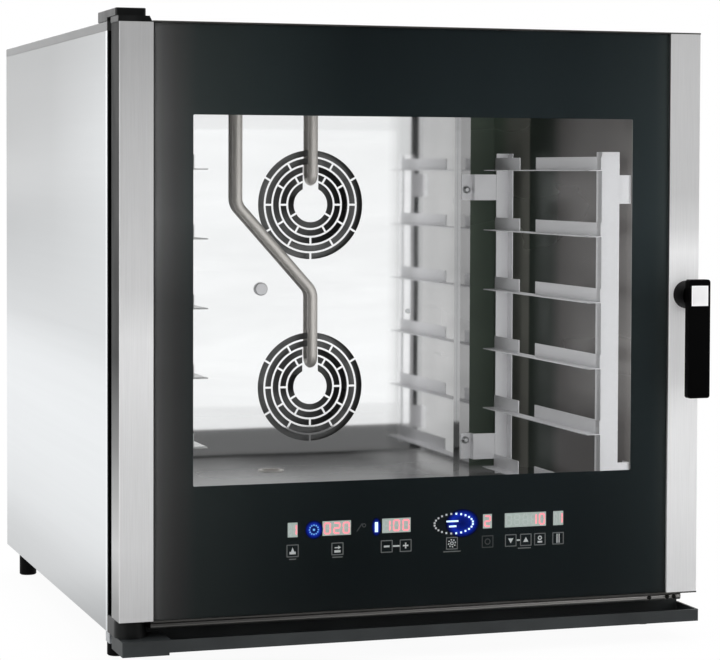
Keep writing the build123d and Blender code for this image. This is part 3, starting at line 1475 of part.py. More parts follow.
# Door rails: channels across the door, open downwards, between the profiles. The top one has a cap
# over the door and the bottom one a sole under it.
cap_left = -door_half + door_cap_inset
cap_plate_width = door_half - cap_left
for rail_name, rail_bottom, plate_bottom, plate_thickness in (
    ("top", door_top - door_rail_height, door_top, door_cap),
    ("bottom", door_bottom, door_bottom - door_sole, door_sole),
):
    with BuildPart() as door_rail:
        with BuildSketch(level_at(rail_bottom)):
            with Locations((0, (rail_front_y + door_back_y) / 2)):
                Rectangle(2 * profile_inner_x, door_back_y - rail_front_y)
        extrude(amount=door_rail_height)
        with BuildSketch(level_at(rail_bottom)):
            with Locations((0, (rail_front_y + door_back_y) / 2)):
                Rectangle(2 * profile_inner_x, door_back_y - rail_front_y - 2 * rail_wall)
        extrude(amount=door_rail_height - rail_wall, mode=Mode.SUBTRACT)
        with BuildSketch(level_at(plate_bottom)):
            with Locations((cap_left + cap_plate_width / 2, (door_face_y + door_back_y) / 2)):
                Rectangle(cap_plate_width, door_frame_depth)
        extrude(amount=plate_thickness)
    door_rail.part.label = f"door_{rail_name}_rail"
    export_step(door_rail.part, f"parts/door_{rail_name}_rail.step")

# Outer glass: the full-height front pane between the trims.
with BuildPart() as outer_glass:
    with BuildSketch(across(outer_glass_back_y)):
        with Locations((0, door_bottom + door_height / 2)):
            Rectangle(2 * glass_half, door_height - 2 * seat_gap)
    extrude(amount=outer_glass_thickness)
outer_glass.part.label = "outer_glass"
export_step(outer_glass.part, "parts/outer_glass.step")

# Inner glass: the pane that closes on the gasket.
with BuildPart() as inner_glass:
    with BuildSketch(across(inner_glass_back_y)):
        with Locations((0, inner_glass_middle)):
            RectangleRounded(inner_glass_width, inner_glass_height, inner_glass_corner)
    extrude(amount=inner_glass_thickness)
inner_glass.part.label = "inner_glass"
export_step(inner_glass.part, "parts/inner_glass.step")

# Inner glass clips: two on each rail, with a ledge under the pane's edge and a lip behind it.
with BuildPart() as inner_glass_clips:
    clip_seat_y = inner_glass_back_y + seat_gap
    clip_back_y = clip_seat_y + clip_thickness
    for clip_x in (-clip_spacing / 2, clip_spacing / 2):
        for end, rail_edge in ((-1, door_bottom + door_rail_height), (1, door_top - door_rail_height)):
            glass_edge = inner_glass_middle + end * inner_glass_height / 2
            with BuildSketch(Plane.YZ.offset(clip_x - clip_width / 2)):
                with BuildLine():
                    Polyline(
                        (door_back_y, rail_edge + end * clip_foot),
                        (door_back_y, rail_edge - end * seat_gap),
                        (inner_glass_back_y - inner_glass_thickness, rail_edge - end * seat_gap),
                        (inner_glass_back_y - inner_glass_thickness, glass_edge + end * seat_gap),
                        (clip_seat_y, glass_edge + end * seat_gap),
                        (clip_seat_y, glass_edge - end * clip_overlap),
                        (clip_back_y, glass_edge - end * clip_overlap),
                        (clip_back_y, rail_edge + end * clip_foot),
                        close=True,
                    )
                make_face()
            extrude(amount=clip_width)
inner_glass_clips.part.label = "inner_glass_clips"
export_step(inner_glass_clips.part, "parts/inner_glass_clips.step")

# Control housing: a box behind the lower band of the glass, standing on the bottom rail.
housing_middle = door_bottom + door_rail_height + housing_height / 2
housing_back_y = rail_front_y + housing_depth
with BuildPart() as control_housing:
    with BuildSketch(across(housing_back_y)):
        with Locations((0, housing_middle)):
            RectangleRounded(housing_width, housing_height, housing_corner)
    extrude(amount=housing_depth)
    with BuildSketch(across(housing_back_y - housing_wall)):
        with Locations((0, housing_middle)):
            RectangleRounded(
                housing_width - 2 * housing_wall,
                housing_height - 2 * housing_wall,
                housing_corner - housing_wall,
            )
    extrude(amount=housing_depth, mode=Mode.SUBTRACT)
control_housing.part.label = "control_housing"
export_step(control_housing.part, "parts/control_housing.step")

# Control board: on six posts from the back of its housing.
board_y = rail_front_y + board_setback
with BuildPart() as control_board:
    board_width = housing_width - 2 * (housing_wall + board_margin)
    board_height = housing_height - 2 * (housing_wall + board_margin)
    with BuildSketch(across(board_y + board_thickness)):
        with Locations((0, housing_middle)):
            Rectangle(board_width, board_height)
    extrude(amount=board_thickness)
    with BuildSketch(across(housing_back_y - housing_wall)):
        with Locations((0, housing_middle)):
            with GridLocations(board_width / 2 - board_margin, board_height - 2 * board_margin, 3, 2):
                Circle(board_post_radius)
    extrude(amount=housing_back_y - housing_wall - board_y - board_thickness)
control_board.part.label = "control_board"
export_step(control_board.part, "parts/control_board.step")

# Display modules: numeral windows on the board, close behind the glass.
with BuildPart() as display_modules:
    with BuildSketch(across(board_y)):
        for display_x, display_width in display_places:
            with Locations((display_x, display_z)):
                Rectangle(display_width, display_height)
    extrude(amount=board_setback - seat_gap)
display_modules.part.label = "display_modules"
export_step(display_modules.part, "parts/display_modules.step")

# Door gutter: a rounded bar under the door that leads drips into the tray, with three low screw heads
# let into its front towards the right end.
with BuildPart() as door_gutter:
    gutter_left = -door_half + gutter_left_inset
    gutter_top = door_bottom - door_sole
    gutter_front_y = door_face_y + gutter_front_inset
    gutter_right = door_half - gutter_right_inset
    gutter_screw_places = [
        (gutter_right - screw_inset, gutter_top - gutter_height / 2) for screw_inset in gutter_screw_insets
    ]
    with BuildSketch(Plane.YZ.offset(gutter_left)):
        with Locations((gutter_front_y + gutter_depth / 2, gutter_top - gutter_height / 2)):
            Rectangle(gutter_depth, gutter_height)
    extrude(amount=gutter_right - gutter_left)
    fillet(door_gutter.edges().filter_by(Axis.X).group_by(Axis.Y)[0], gutter_edge_radius)
    with BuildSketch(across(gutter_front_y + gutter_screw_seat)):
        with Locations(*gutter_screw_places):
            Circle(gutter_screw_radius + seat_gap)
    extrude(amount=gutter_screw_seat, mode=Mode.SUBTRACT)
    with BuildSketch(across(gutter_front_y + gutter_screw_seat)):
        with Locations(*gutter_screw_places):
            Circle(gutter_screw_radius)
    extrude(amount=gutter_screw_seat + gutter_screw_head)
    chamfer(door_gutter.edges().group_by(Axis.Y)[0], gutter_screw_head / 2)
door_gutter.part.label = "door_gutter"
export_step(door_gutter.part, "parts/door_gutter.step")

# Door hinge plate: on the left profile's upper end, round the top pin.
with BuildPart() as door_hinge_plate:
    with BuildSketch(across(door_back_y)):
        with BuildLine():
            Polyline(
                (-casing_width / 2, door_top),
                (cap_left - swing_gap, door_top),
                (cap_left - swing_gap - hinge_plate_chamfer / 2, door_top + hinge_plate_thickness),
                (-casing_width / 2, door_top + hinge_plate_thickness),
                close=True,
            )
        make_face()
    extrude(amount=door_frame_depth)
    with BuildSketch(level_at(door_top)):
        with Locations((hinge_x, hinge_y)):
            Circle(hinge_pin_radius + running_gap)
    extrude(amount=hinge_plate_thickness, mode=Mode.SUBTRACT)
door_hinge_plate.part.label = "door_hinge_plate"
export_step(door_hinge_plate.part, "parts/door_hinge_plate.step")

# Handle bush: a rosette on the trim with a sleeve through the profile.
with BuildPart() as handle_bush:
    with BuildSketch(across(door_face_y)):
        with Locations((handle_x, handle_z)):
            Circle(rosette_radius)
    extrude(amount=rosette_thickness)
    with BuildSketch(across(door_face_y + sleeve_length)):
        with Locations((handle_x, handle_z)):
            Circle(sleeve_radius)
    extrude(amount=sleeve_length)
    with BuildSketch(across(door_face_y + sleeve_length)):
        with Locations((handle_x, handle_z)):
            Circle(spindle_radius + running_gap)
    extrude(amount=sleeve_length + rosette_thickness, mode=Mode.SUBTRACT)
handle_bush.part.label = "handle_bush"
export_step(handle_bush.part, "parts/handle_bush.step")

# Handle lever: a bar hanging down from a round hub, with a recess for the badge.
lever_front_y = door_face_y - handle_reach
hub_back_y = door_face_y - rosette_thickness - seat_gap
with BuildPart() as handle_lever:
    lever_length = lever_above + lever_below
    with BuildSketch(across(lever_back_y)):
        with Locations((handle_x, handle_z + lever_above - lever_length / 2)):
            RectangleRounded(lever_width, lever_length, lever_corner_radius)
    extrude(amount=lever_thickness)
    fillet(handle_lever.edges().group_by(Axis.Y)[0], lever_edge_radius)
    with BuildSketch(across(hub_back_y)):
        with Locations((handle_x, handle_z)):
            Circle(handle_hub_radius)
    extrude(amount=hub_back_y - lever_back_y)
    with BuildSketch(across(hub_back_y)):
        with Locations((handle_x, handle_z)):
            Circle(spindle_radius + running_gap)
    extrude(amount=hub_back_y - lever_back_y, mode=Mode.SUBTRACT)
    with BuildSketch(across(lever_front_y + badge_thickness)):
        with Locations((handle_x, handle_z)):
            Rectangle(badge_width + 2 * running_gap, badge_height + 2 * running_gap)
    extrude(amount=badge_thickness, mode=Mode.SUBTRACT)
handle_lever.part.label = "handle_lever"
export_step(handle_lever.part, "parts/handle_lever.step")

# Handle badge: a plain plate in the lever's recess, flush with its front.
with BuildPart() as handle_badge:
    with BuildSketch(across(lever_front_y + badge_thickness)):
        with Locations((handle_x, handle_z)):
            Rectangle(badge_width, badge_height)
    extrude(amount=badge_thickness)
handle_badge.part.label = "handle_badge"
export_step(handle_badge.part, "parts/handle_badge.step")

# Handle spindle: from the lever through the bush to the latch hook.
with BuildPart() as handle_spindle:
    with BuildSketch(across(hook_back_y)):
        with Locations((handle_x, handle_z)):
            Circle(spindle_radius)
    extrude(amount=hook_back_y - lever_back_y)
handle_spindle.part.label = "handle_spindle"
export_step(handle_spindle.part, "parts/handle_spindle.step")

# Latch hook: a tongue on the spindle that turns down behind the keeper's lip.
with BuildPart() as latch_hook:
    with BuildSketch(across(hook_back_y)):
        with Locations((handle_x, handle_z - hook_length / 2)):
            Rectangle(hook_width, hook_length)
        with Locations((handle_x, handle_z)):
            Circle(hook_hub_radius)
            Circle(spindle_radius + running_gap, mode=Mode.SUBTRACT)
    extrude(amount=hook_thickness)
latch_hook.part.label = "latch_hook"
export_step(latch_hook.part, "parts/latch_hook.step")
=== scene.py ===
import json
from math import cos, pi, radians, sin

import bmesh
import bpy
from mathutils import Matrix, Vector


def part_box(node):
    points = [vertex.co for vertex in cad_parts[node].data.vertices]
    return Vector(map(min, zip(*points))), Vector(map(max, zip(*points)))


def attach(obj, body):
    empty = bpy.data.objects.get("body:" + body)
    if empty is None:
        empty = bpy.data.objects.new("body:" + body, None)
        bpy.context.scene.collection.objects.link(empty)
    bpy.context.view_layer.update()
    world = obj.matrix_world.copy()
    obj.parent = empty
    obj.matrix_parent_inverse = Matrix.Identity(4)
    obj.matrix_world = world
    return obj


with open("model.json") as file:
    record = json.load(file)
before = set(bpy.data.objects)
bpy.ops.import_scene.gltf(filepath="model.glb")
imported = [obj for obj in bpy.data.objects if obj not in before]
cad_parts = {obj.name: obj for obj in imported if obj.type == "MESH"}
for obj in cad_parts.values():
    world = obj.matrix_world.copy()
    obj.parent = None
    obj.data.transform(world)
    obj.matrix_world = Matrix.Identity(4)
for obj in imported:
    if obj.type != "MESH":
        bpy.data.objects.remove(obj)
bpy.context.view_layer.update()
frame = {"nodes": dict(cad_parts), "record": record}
nodes = frame["nodes"]
scene = bpy.context.scene

MM = 0.001
glass_low, glass_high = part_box("outer_glass")
lid_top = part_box("top_cover")[1].z
CAVITY_FLOOR = 170 * MM


# Camera: where the photograph was taken from, fitted to the oven's edges. The lens axis meets the
# picture above its middle, so the frame is shifted down.
CAMERA_PLACE = Vector((-1.1134, -3.5641, 0.6797))
CAMERA_YAW = radians(18.093)
CAMERA_PITCH = radians(2.072)
CAMERA_ROLL = radians(-0.2)
CAMERA_LENS = 119.135
CAMERA_SHIFT = -0.1


def make_camera():
    forward = Vector(
        (sin(CAMERA_YAW) * cos(CAMERA_PITCH), cos(CAMERA_YAW) * cos(CAMERA_PITCH), -sin(CAMERA_PITCH))
    )
    level = Vector((cos(CAMERA_YAW), -sin(CAMERA_YAW), 0))
    above = level.cross(forward)
    right = level * cos(CAMERA_ROLL) - above * sin(CAMERA_ROLL)
    up = level * sin(CAMERA_ROLL) + above * cos(CAMERA_ROLL)
    camera = bpy.data.objects.new("camera", bpy.data.cameras.new("camera"))
    scene.collection.objects.link(camera)
    turn = Matrix((right, up, -forward)).transposed().to_4x4()
    camera.matrix_world = Matrix.Translation(CAMERA_PLACE) @ turn
    camera.data.sensor_width = 36
    camera.data.lens = CAMERA_LENS
    camera.data.shift_y = CAMERA_SHIFT
    camera.data.clip_end = 60
    scene.camera = camera


# Materials


def remapped(tree, socket, start, end, low, high):
    """Takes start to end of a socket to low to high."""
    remap = tree.nodes.new("ShaderNodeMapRange")
    for key, value in (("From Min", start), ("From Max", end), ("To Min", low), ("To Max", high)):
        remap.inputs[key].default_value = value
    tree.links.new(socket, remap.inputs["Value"])
    return remap.outputs["Result"]


def mixed(tree, factor, a, b):
    """Shader a where the factor is 0, and shader b where it is 1."""
    mix = tree.nodes.new("ShaderNodeMixShader")
    tree.links.new(factor, mix.inputs["Fac"])
    tree.links.new(a, mix.inputs[1])
    tree.links.new(b, mix.inputs[2])
    return mix.outputs["Shader"]


class Look:
    """A Principled material whose colour, roughness and bump vary with noise in the shared frame."""

    def __init__(self, name, color, roughness, metallic=0.0, **fixed):
        self.material = bpy.data.materials.new(name)
        self.material.use_nodes = True
        self.tree = self.material.node_tree
        self.shader = self.tree.nodes["Principled BSDF"]
        self.set("Base Color", (*color, 1))
        self.set("Roughness", roughness)
        self.set("Metallic", metallic)
        for socket, value in fixed.items():
            self.set(socket.replace("_", " "), value)
        self.material.diffuse_color = (*color, 1)

    def set(self, socket, value):
        self.shader.inputs[socket].default_value = value

    def link(self, a, b):
        self.tree.links.new(a, b)

    def add(self, kind, **settings):
        node = self.tree.nodes.new("ShaderNode" + kind)
        for key, value in settings.items():
            setattr(node, key, value)
        return node

    def place(self):
        return self.add("TexCoord").outputs["Object"]

    def noise(self, cycles, detail=2.0, soft=0.5, distortion=0.0):
        """Noise from 0 to 1 with that many cycles a metre along X, Y and Z."""
        scale = self.add("Mapping")
        scale.inputs["Scale"].default_value = cycles
        self.link(self.place(), scale.inputs["Vector"])
        noise = self.add("TexNoise")
        noise.inputs["Scale"].default_value = 1.0
        noise.inputs["Detail"].default_value = detail
        noise.inputs["Roughness"].default_value = soft
        noise.inputs["Distortion"].default_value = distortion
        self.link(scale.outputs["Vector"], noise.inputs["Vector"])
        return noise.outputs["Fac"]

    def cells(self, cycles):
        """Patches round scattered points, with that many points a metre."""
        cells = self.add("TexVoronoi", feature="F1")
        cells.inputs["Scale"].default_value = cycles
        self.link(self.place(), cells.inputs["Vector"])
        return cells

    def spread(self, socket, low, high, start=0.3, end=0.7):
        return remapped(self.tree, socket, start, end, low, high)

    def blend(self, factor, a, b):
        """A colour between a and b, each a colour or a socket."""
        mix = self.add("Mix", data_type="RGBA")
        self.link(factor, mix.inputs["Factor"])
        for socket, value in ((mix.inputs[6], a), (mix.inputs[7], b)):
            if isinstance(value, (tuple, list)):
                socket.default_value = (*value, 1)
            else:
                self.link(value, socket)
        return mix.outputs[2]

    def paint(self, color):
        self.link(color, self.shader.inputs["Base Color"])

    def rough(self, socket):
        self.link(socket, self.shader.inputs["Roughness"])

    def bump(self, socket, height, strength=1.0):
        bump = self.add("Bump")
        bump.inputs["Strength"].default_value = strength
        bump.inputs["Distance"].default_value = height
        self.link(socket, bump.inputs["Height"])
        self.link(bump.outputs["Normal"], self.shader.inputs["Normal"])

    def coordinate(self, axis):
        split = self.add("SeparateXYZ")
        self.link(self.place(), split.inputs["Vector"])
        return split.outputs[axis]

    def shade_along(self, axis, stops):
        """A colour that changes along an axis. A stop is a place in metres and a colour or a brightness."""
        first, last = stops[0][0], stops[-1][0]
        ramp = self.add("ValToRGB")
        steps = ramp.color_ramp.elements
        for place, color in stops:
            color = color if isinstance(color, tuple) else (color, color, color)
            if place == first:
                step = steps[0]
            elif place == last:
                step = steps[len(steps) - 1]
            else:
                step = steps.new((place - first) / (last - first))
            step.color = (*color, 1)
        self.link(self.spread(self.coordinate(axis), 0, 1, first, last), ramp.inputs["Fac"])
        return ramp.outputs["Color"]

    def times(self, a, b):
        """Two colour sockets multiplied."""
        mix = self.add("Mix", data_type="RGBA", blend_type="MULTIPLY")
        mix.inputs["Factor"].default_value = 1.0
        self.link(a, mix.inputs[6])
        self.link(b, mix.inputs[7])
        return mix.outputs[2]


def brushed(name, color, roughness, cycles, variation=0.12, grain=0.00004, painted_light_levels=None, metallic=1.0):
    """Brushed sheet: fine streaks along the axis with the fewest cycles, with painted light and shade by
    level along Z where levels are given.
    """
    look = Look(name, color, roughness, metallic)
    fine = look.noise(cycles, detail=3.0, soft=0.6)
    broad = look.noise(tuple(c / 12 for c in cycles), detail=2.0)
    darker = tuple(c * (1 - variation) for c in color)
    streaked = look.blend(look.spread(fine, 0, 1), darker, color)
    # The levels are painted light and shade up the sheet's height.
    look.paint(look.times(streaked, look.shade_along("Z", painted_light_levels)) if painted_light_levels else streaked)
    look.rough(look.spread(broad, roughness * (1 - variation), roughness * (1 + variation)))
    look.bump(fine, grain)
    return look


def trim(name, painted_light_levels, metallic):
    """Brushed strip down one side of the door, with painted reflection in its levels up its height. Its
    left edge is turned back, and painted reflection makes it dark higher up.
    """
    steel = (0.96, 0.96, 0.965)
    look = brushed(name, steel, 0.36, (1700, 1700, 14), 0.1, painted_light_levels=painted_light_levels, metallic=metallic)
    streaked = look.shader.inputs["Base Color"].links[0].from_socket
    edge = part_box(name)[0].x
    inside = look.spread(look.coordinate("X"), 0, 1, edge, edge + 0.6 * MM)
    # Painted reflection: the turned-back edge darkens higher up.
    fade = look.shade_along("Z", ((0.18, 0.9), (0.27, 0.7), (0.37, 0.2), (0.5, 0.06)))
    turned = look.times(streaked, fade)
    look.paint(look.blend(inside, turned, streaked))
    return look


def polished(name, color, roughness, streaks):
    """Mirror sheet with faint wiping streaks and cloudy patches."""
    look = Look(name, color, roughness, 1.0)
    wiped = look.noise(streaks, detail=4.0, soft=0.65, distortion=0.4)
    rolled = look.noise((3, 3, 3), detail=2.0)
    darker = tuple(c * 0.9 for c in color)
    look.paint(look.blend(look.spread(wiped, 0, 1), darker, color))
    look.rough(look.spread(wiped, roughness * 1.3, roughness * 0.8))
    look.bump(rolled, 0.0012, 0.35)
    return look


def casing_sheet():
    """The casing's brushed sheet, with painted reflection in its levels up its height. Higher up, painted
    shade darkens it towards the rear, and a painted highlight makes its front bend bright.
    """
    # Painted reflection: brightness up the side.
    painted_light_levels = (
        (0.03, 0.5), (0.09, 0.6), (0.15, 0.76), (0.22, 0.84), (0.32, 0.88), (0.38, 0.86),
        (0.45, 0.71), (0.6, 0.69), (0.74, 0.63), (0.86, 0.45),
    )
    steel = (0.95, 0.98, 1.0)
    look = brushed("casing_steel", steel, 0.28, (1.5, 1.5, 90), 0.025, 0.000002, painted_light_levels=painted_light_levels)
    plain = look.shader.inputs["Base Color"].links[0].from_socket
    # Painted shade towards the rear, higher up.
    painted_rear_shade = look.times(plain, look.shade_along("Y", ((-0.358, 1.0), (0.05, 0.57), (0.45, 0.38))))
    painted_upper_shade = look.blend(look.spread(look.coordinate("Z"), 0, 1, 0.42, 0.74), plain, painted_rear_shade)
    # Painted highlight on the front bend.
    look.paint(look.blend(look.spread(look.coordinate("Y"), 0, 1, -0.352, -0.345), steel, painted_upper_shade))
    return look


def front_sheet():
    """The casing's front: brushed, with painted shadow blackening its outer hems in the gap behind the
    door.
    """
    look = brushed("front_steel", (0.6, 0.6, 0.61), 0.34, (60, 60, 1500), 0.06)
    plain = look.shader.inputs["Base Color"].links[0].from_socket
    # Painted shadow in the gap behind the door.
    painted_gap_shadow = look.shade_along("X", ((-0.4235, 0.03), (-0.42, 1.0), (0.42, 1.0), (0.4235, 0.03)))
    look.paint(look.times(plain, painted_gap_shadow))
    return look


# Where the fan cover's wings step forward, from its middle
WING_STEP = 251.8 * MM


def fan_cover_sheet():
    """The fan cover: a mirror, with painted shade where its side wings step forward, and darker in a narrow
    band right of its middle.
    """
    look = polished("cover_steel", (0.93, 0.93, 0.935), 0.045, (1.5, 1.5, 9))
    plain = look.shader.inputs["Base Color"].links[0].from_socket
    # Painted shade at the wing steps.
    painted_wing_shade = look.shade_along(
        "X",
        (
            (-WING_STEP - 0.001, 0.5),
            (-WING_STEP, 0.75),
            (-WING_STEP + 0.0006, 1.0),
            (0.13, 1.0),
            (0.155, 0.78),
            (0.17, 0.78),
            (0.185, 1.0),
            (0.2, 1.0),
            (WING_STEP - 0.012, 0.8),
            (WING_STEP, 0.7),
            (WING_STEP + 0.001, 0.5),
        ),
    )
    look.paint(look.times(plain, painted_wing_shade))
    return look


def cavity_sheet():
    """The liner's polished sheet, with painted reflections in broad upright bands and painted light and
    shade across its floor.
    """
    look = Look("cavity_steel", (0.15, 0.14, 0.135), 0.3, 0.4)
    wiped = look.noise((2, 2, 14), detail=1.5)
    brown, green = (0.19, 0.176, 0.168), (0.03, 0.043, 0.033)
    # Painted reflections in upright bands along the cavity's depth.
    painted_light_bands = look.shade_along(
        "Y",
        (
            (-0.36, brown),
            (-0.25, (0.13, 0.12, 0.115)),
            (-0.09, (0.14, 0.13, 0.125)),
            (-0.05, green),
            (0.038, green),
            (0.045, (0.3, 0.29, 0.26)),
            (0.12, (0.29, 0.28, 0.25)),
            (0.17, (0.16, 0.2, 0.155)),
            (0.21, (0.15, 0.2, 0.155)),
        ),
    )
    above = look.spread(look.coordinate("Z"), 0, 1, CAVITY_FLOOR + 4 * MM, CAVITY_FLOOR + 14 * MM)
    # Painted light and shade across the floor.
    floor = look.shade_along(
        "X", ((-0.33, 0.36), (-0.05, 0.38), (0.05, 0.13), (0.2, 0.13), (0.28, 0.6), (0.33, 0.6))
    )
    painted_light_bands = look.blend(above, floor, painted_light_bands)
    darker = look.blend(look.spread(wiped, 0, 1), (0.82, 0.82, 0.82), (1, 1, 1))
    look.paint(look.times(painted_light_bands, darker))
    look.rough(look.spread(wiped, 0.36, 0.24))
    return look


def door_side():
    """The door's side profile: black inside, with a steel outer face whose reflection of a dark room higher
    up is painted into its colour.
    """
    look = enamelled("door_side", (0.04, 0.039, 0.037), 0.5, Specular_IOR_Level=0.1)
    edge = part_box("left_door_profile")[0].x
    # Painted reflection: dark higher up, light lower down.
    steel = look.shade_along(
        "Z",
        (
            (0.09, 0.3), (0.125, 0.42), (0.167, 0.55), (0.237, 0.37), (0.306, 0.2), (0.375, 0.1),
            (0.43, 0.028), (0.55, 0.022), (0.85, 0.01),
        ),
    )
    inside = look.spread(look.coordinate("X"), 0, 1, edge + 0.3 * MM, edge + 0.6 * MM)
    black = look.shader.inputs["Base Color"].links[0].from_socket
    look.paint(look.blend(inside, steel, black))
    return look


def printed():
    """The black print seen through the glass: even, with painted reflection that makes it a little paler
    towards its left edge.
    """
    look = Look("print_black", (0.003, 0.005, 0.0055), 0.9, Specular_IOR_Level=0.0)
    edge = glass_low.x
    # Painted reflection across the print, palest at its left edge.
    fade = look.shade_along(
        "X",
        (
            (edge, 0.25),
            (edge + 0.012, 0.17),
            (edge + 0.03, 0.115),
            (edge + 0.06, (0.065, 0.08, 0.08)),
            (edge + 0.16, (0.037, 0.05, 0.052)),
            (-0.1, (0.023, 0.033, 0.036)),
            (0.25, (0.032, 0.044, 0.048)),
            (0.36, (0.05, 0.066, 0.07)),
            (-edge, (0.075, 0.09, 0.09)),
        ),
    )
    cloud = look.spread(look.noise((6, 6, 2.5), detail=1.0), 0, 1)
    cloudy = look.times(fade, look.blend(cloud, (0.85, 0.85, 0.85), (1, 1, 1)))
    # Painted reflection up the print's height.
    painted_light_levels = ((0.08, 0.4), (0.3, 0.58), (0.5, 0.6), (0.62, 1.0), (0.75, 0.88), (0.9, 0.64))
    look.paint(look.times(cloudy, look.shade_along("Z", painted_light_levels)))
    return look


def moulded(name, color, roughness, **fixed):
    """Moulded plastic or rubber with a fine leather-like grain."""
    look = Look(name, color, roughness, **fixed)
    skin = look.noise((1400, 1400, 1400), detail=2.0)
    worn = look.noise((14, 14, 14), detail=3.0)
    lighter = tuple(min(1.0, c * 1.6) for c in color)
    look.paint(look.blend(look.spread(worn, 0, 1), color, lighter))
    look.rough(look.spread(worn, roughness * 0.88, roughness * 1.12))
    look.bump(skin, 0.00003)
    return look


def badge():
    """The lever's badge: pale grey with a white rim."""
    look = moulded("badge", (0.66, 0.65, 0.66), 0.35)
    grey = look.shader.inputs["Base Color"].links[0].from_socket
    low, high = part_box("handle_badge")
    rim, soft = 2.0 * MM, 0.1 * MM
    across, along = (
        look.shade_along(
            axis, ((a + rim - soft, 0.0), (a + rim, 1.0), (b - rim, 1.0), (b - rim + soft, 0.0))
        )
        for axis, a, b in (("X", low.x, high.x), ("Z", low.z, high.z))
    )
    look.paint(look.blend(look.times(across, along), (0.95, 0.95, 0.95), grey))
    return look


def enamelled(name, color, roughness, **fixed):
    """Sprayed paint: a slight orange peel and dust."""
    look = Look(name, color, roughness, **fixed)
    peel = look.noise((420, 420, 420), detail=1.0)
    dust = look.noise((30, 30, 9), detail=4.0)
    lighter = tuple(min(1.0, c * 1.25 + 0.006) for c in color)
    look.paint(look.blend(look.spread(dust, 0, 1), color, lighter))
    look.rough(look.spread(dust, roughness * 0.9, roughness * 1.15))
    look.bump(peel, 0.00003)
    return look


def gutter_sheet():
    """Polished bar with a painted reflection: dull at its left end and brightest towards its right end. The
    screw heads proud of its front are blackened.
    """
    look = Look("gutter_steel", (0.62, 0.6, 0.58), 0.34, 1.0)
    streaks = look.noise((14, 900, 900), detail=3.0, soft=0.6)
    worn = look.blend(look.spread(streaks, 0, 1), (0.55, 0.54, 0.52), (0.66, 0.65, 0.63))
    # Painted reflection along the bar.
    along = look.shade_along(
        "X", ((-0.39, 0.45), (-0.2, 0.6), (0.1, 1.15), (0.28, 1.5), (0.36, 1.4), (0.41, 1.2))
    )
    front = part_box("door_gutter")[0].y
    heads = look.shade_along("Y", ((front + 1.1 * MM, 0.03), (front + 1.3 * MM, 1.0)))
    look.paint(look.times(look.times(worn, along), heads))
    look.rough(look.spread(streaks, 0.3, 0.4))
    return look


def galvanised():
    look = Look("zinc", (0.56, 0.58, 0.6), 0.42, 1.0)
    spangle = look.cells(85.0)
    grain = look.noise((60, 60, 60), detail=4.0)
    shade = look.spread(spangle.outputs["Color"], 0, 1, 0.1, 0.9)
    look.paint(look.blend(shade, (0.46, 0.48, 0.5), (0.68, 0.7, 0.72)))
    look.rough(look.spread(grain, 0.34, 0.52))
    look.bump(grain, 0.00005)
    return look


def wool():
    look = Look("mineral_wool", (0.55, 0.5, 0.36), 0.95)
    fibres = look.noise((260, 260, 900), detail=6.0, soft=0.75, distortion=1.5)
    tufts = look.noise((40, 40, 60), detail=3.0)
    look.paint(look.blend(look.spread(fibres, 0, 1), (0.42, 0.37, 0.24), (0.68, 0.64, 0.5)))
    look.bump(tufts, 0.0015, 0.8)
    return look


def board_green():
    """Solder mask with darker copper tracks under it."""
    look = Look("solder_mask", (0.02, 0.14, 0.06), 0.32)
    tracks = look.add("TexBrick", offset=0.5, squash=0.6)
    for key, value in (("Scale", 60.0), ("Mortar Size", 0.012), ("Brick Width", 0.7), ("Row Height", 0.24)):
        tracks.inputs[key].default_value = value
    turned = look.add("Mapping")
    turned.inputs["Rotation"].default_value = (radians(90), 0, 0)
    look.link(look.place(), turned.inputs["Vector"])
    look.link(turned.outputs["Vector"], tracks.inputs["Vector"])
    look.paint(look.blend(tracks.outputs["Fac"], (0.015, 0.11, 0.05), (0.04, 0.24, 0.1)))
    look.rough(look.spread(look.noise((80, 80, 80)), 0.26, 0.4))
    return look


def clear_glass(name, tint, ior, haze=0.0):
    """Clear sheet glass that lets lamps through. Its gloss comes from Fresnel."""
    material = bpy.data.materials.new(name)
    material.use_nodes = True
    tree = material.node_tree
    tree.nodes.clear()
    output = tree.nodes.new("ShaderNodeOutputMaterial")
    through = tree.nodes.new("ShaderNodeBsdfTransparent")
    through.inputs["Color"].default_value = (*tint, 1)
    gloss = tree.nodes.new("ShaderNodeBsdfGlossy")
    gloss.inputs["Roughness"].default_value = haze
    fresnel = tree.nodes.new("ShaderNodeFresnel")
    fresnel.inputs["IOR"].default_value = ior
    glass = mixed(tree, fresnel.outputs["Fac"], through.outputs["BSDF"], gloss.outputs["BSDF"])
    tree.links.new(glass, output.inputs["Surface"])
    return material


def halo(name, color, place, reach, stops):
    """Light spread in the print round a lit symbol. A stop is a share of its reach and a brightness."""
    look = Look(name, color, 0.5, Specular_IOR_Level=0.0)
    around = look.add("Mapping", vector_type="TEXTURE")
    around.inputs["Location"].default_value = (place[0], glass_high.y, place[1])
    around.inputs["Scale"].default_value = (reach[0], 1, reach[1])
    look.link(look.place(), around.inputs["Vector"])
    near = look.add("TexGradient", gradient_type="SPHERICAL")
    look.link(around.outputs["Vector"], near.inputs["Vector"])
    fade = look.add("ValToRGB")
    steps = fade.color_ramp.elements
    for index, (share, brightness) in enumerate(reversed(stops)):
        step = steps[0] if index == 0 else steps[1] if index == 1 else steps.new(1 - share)
        step.position = 1 - share
        step.color = (*(c * brightness for c in color), 1)
    look.link(near.outputs["Color"], fade.inputs["Fac"])
    look.paint(fade.outputs["Color"])
    look.link(fade.outputs["Color"], look.shader.inputs["Emission Color"])
    look.set("Emission Strength", 1.0)
    return look.material


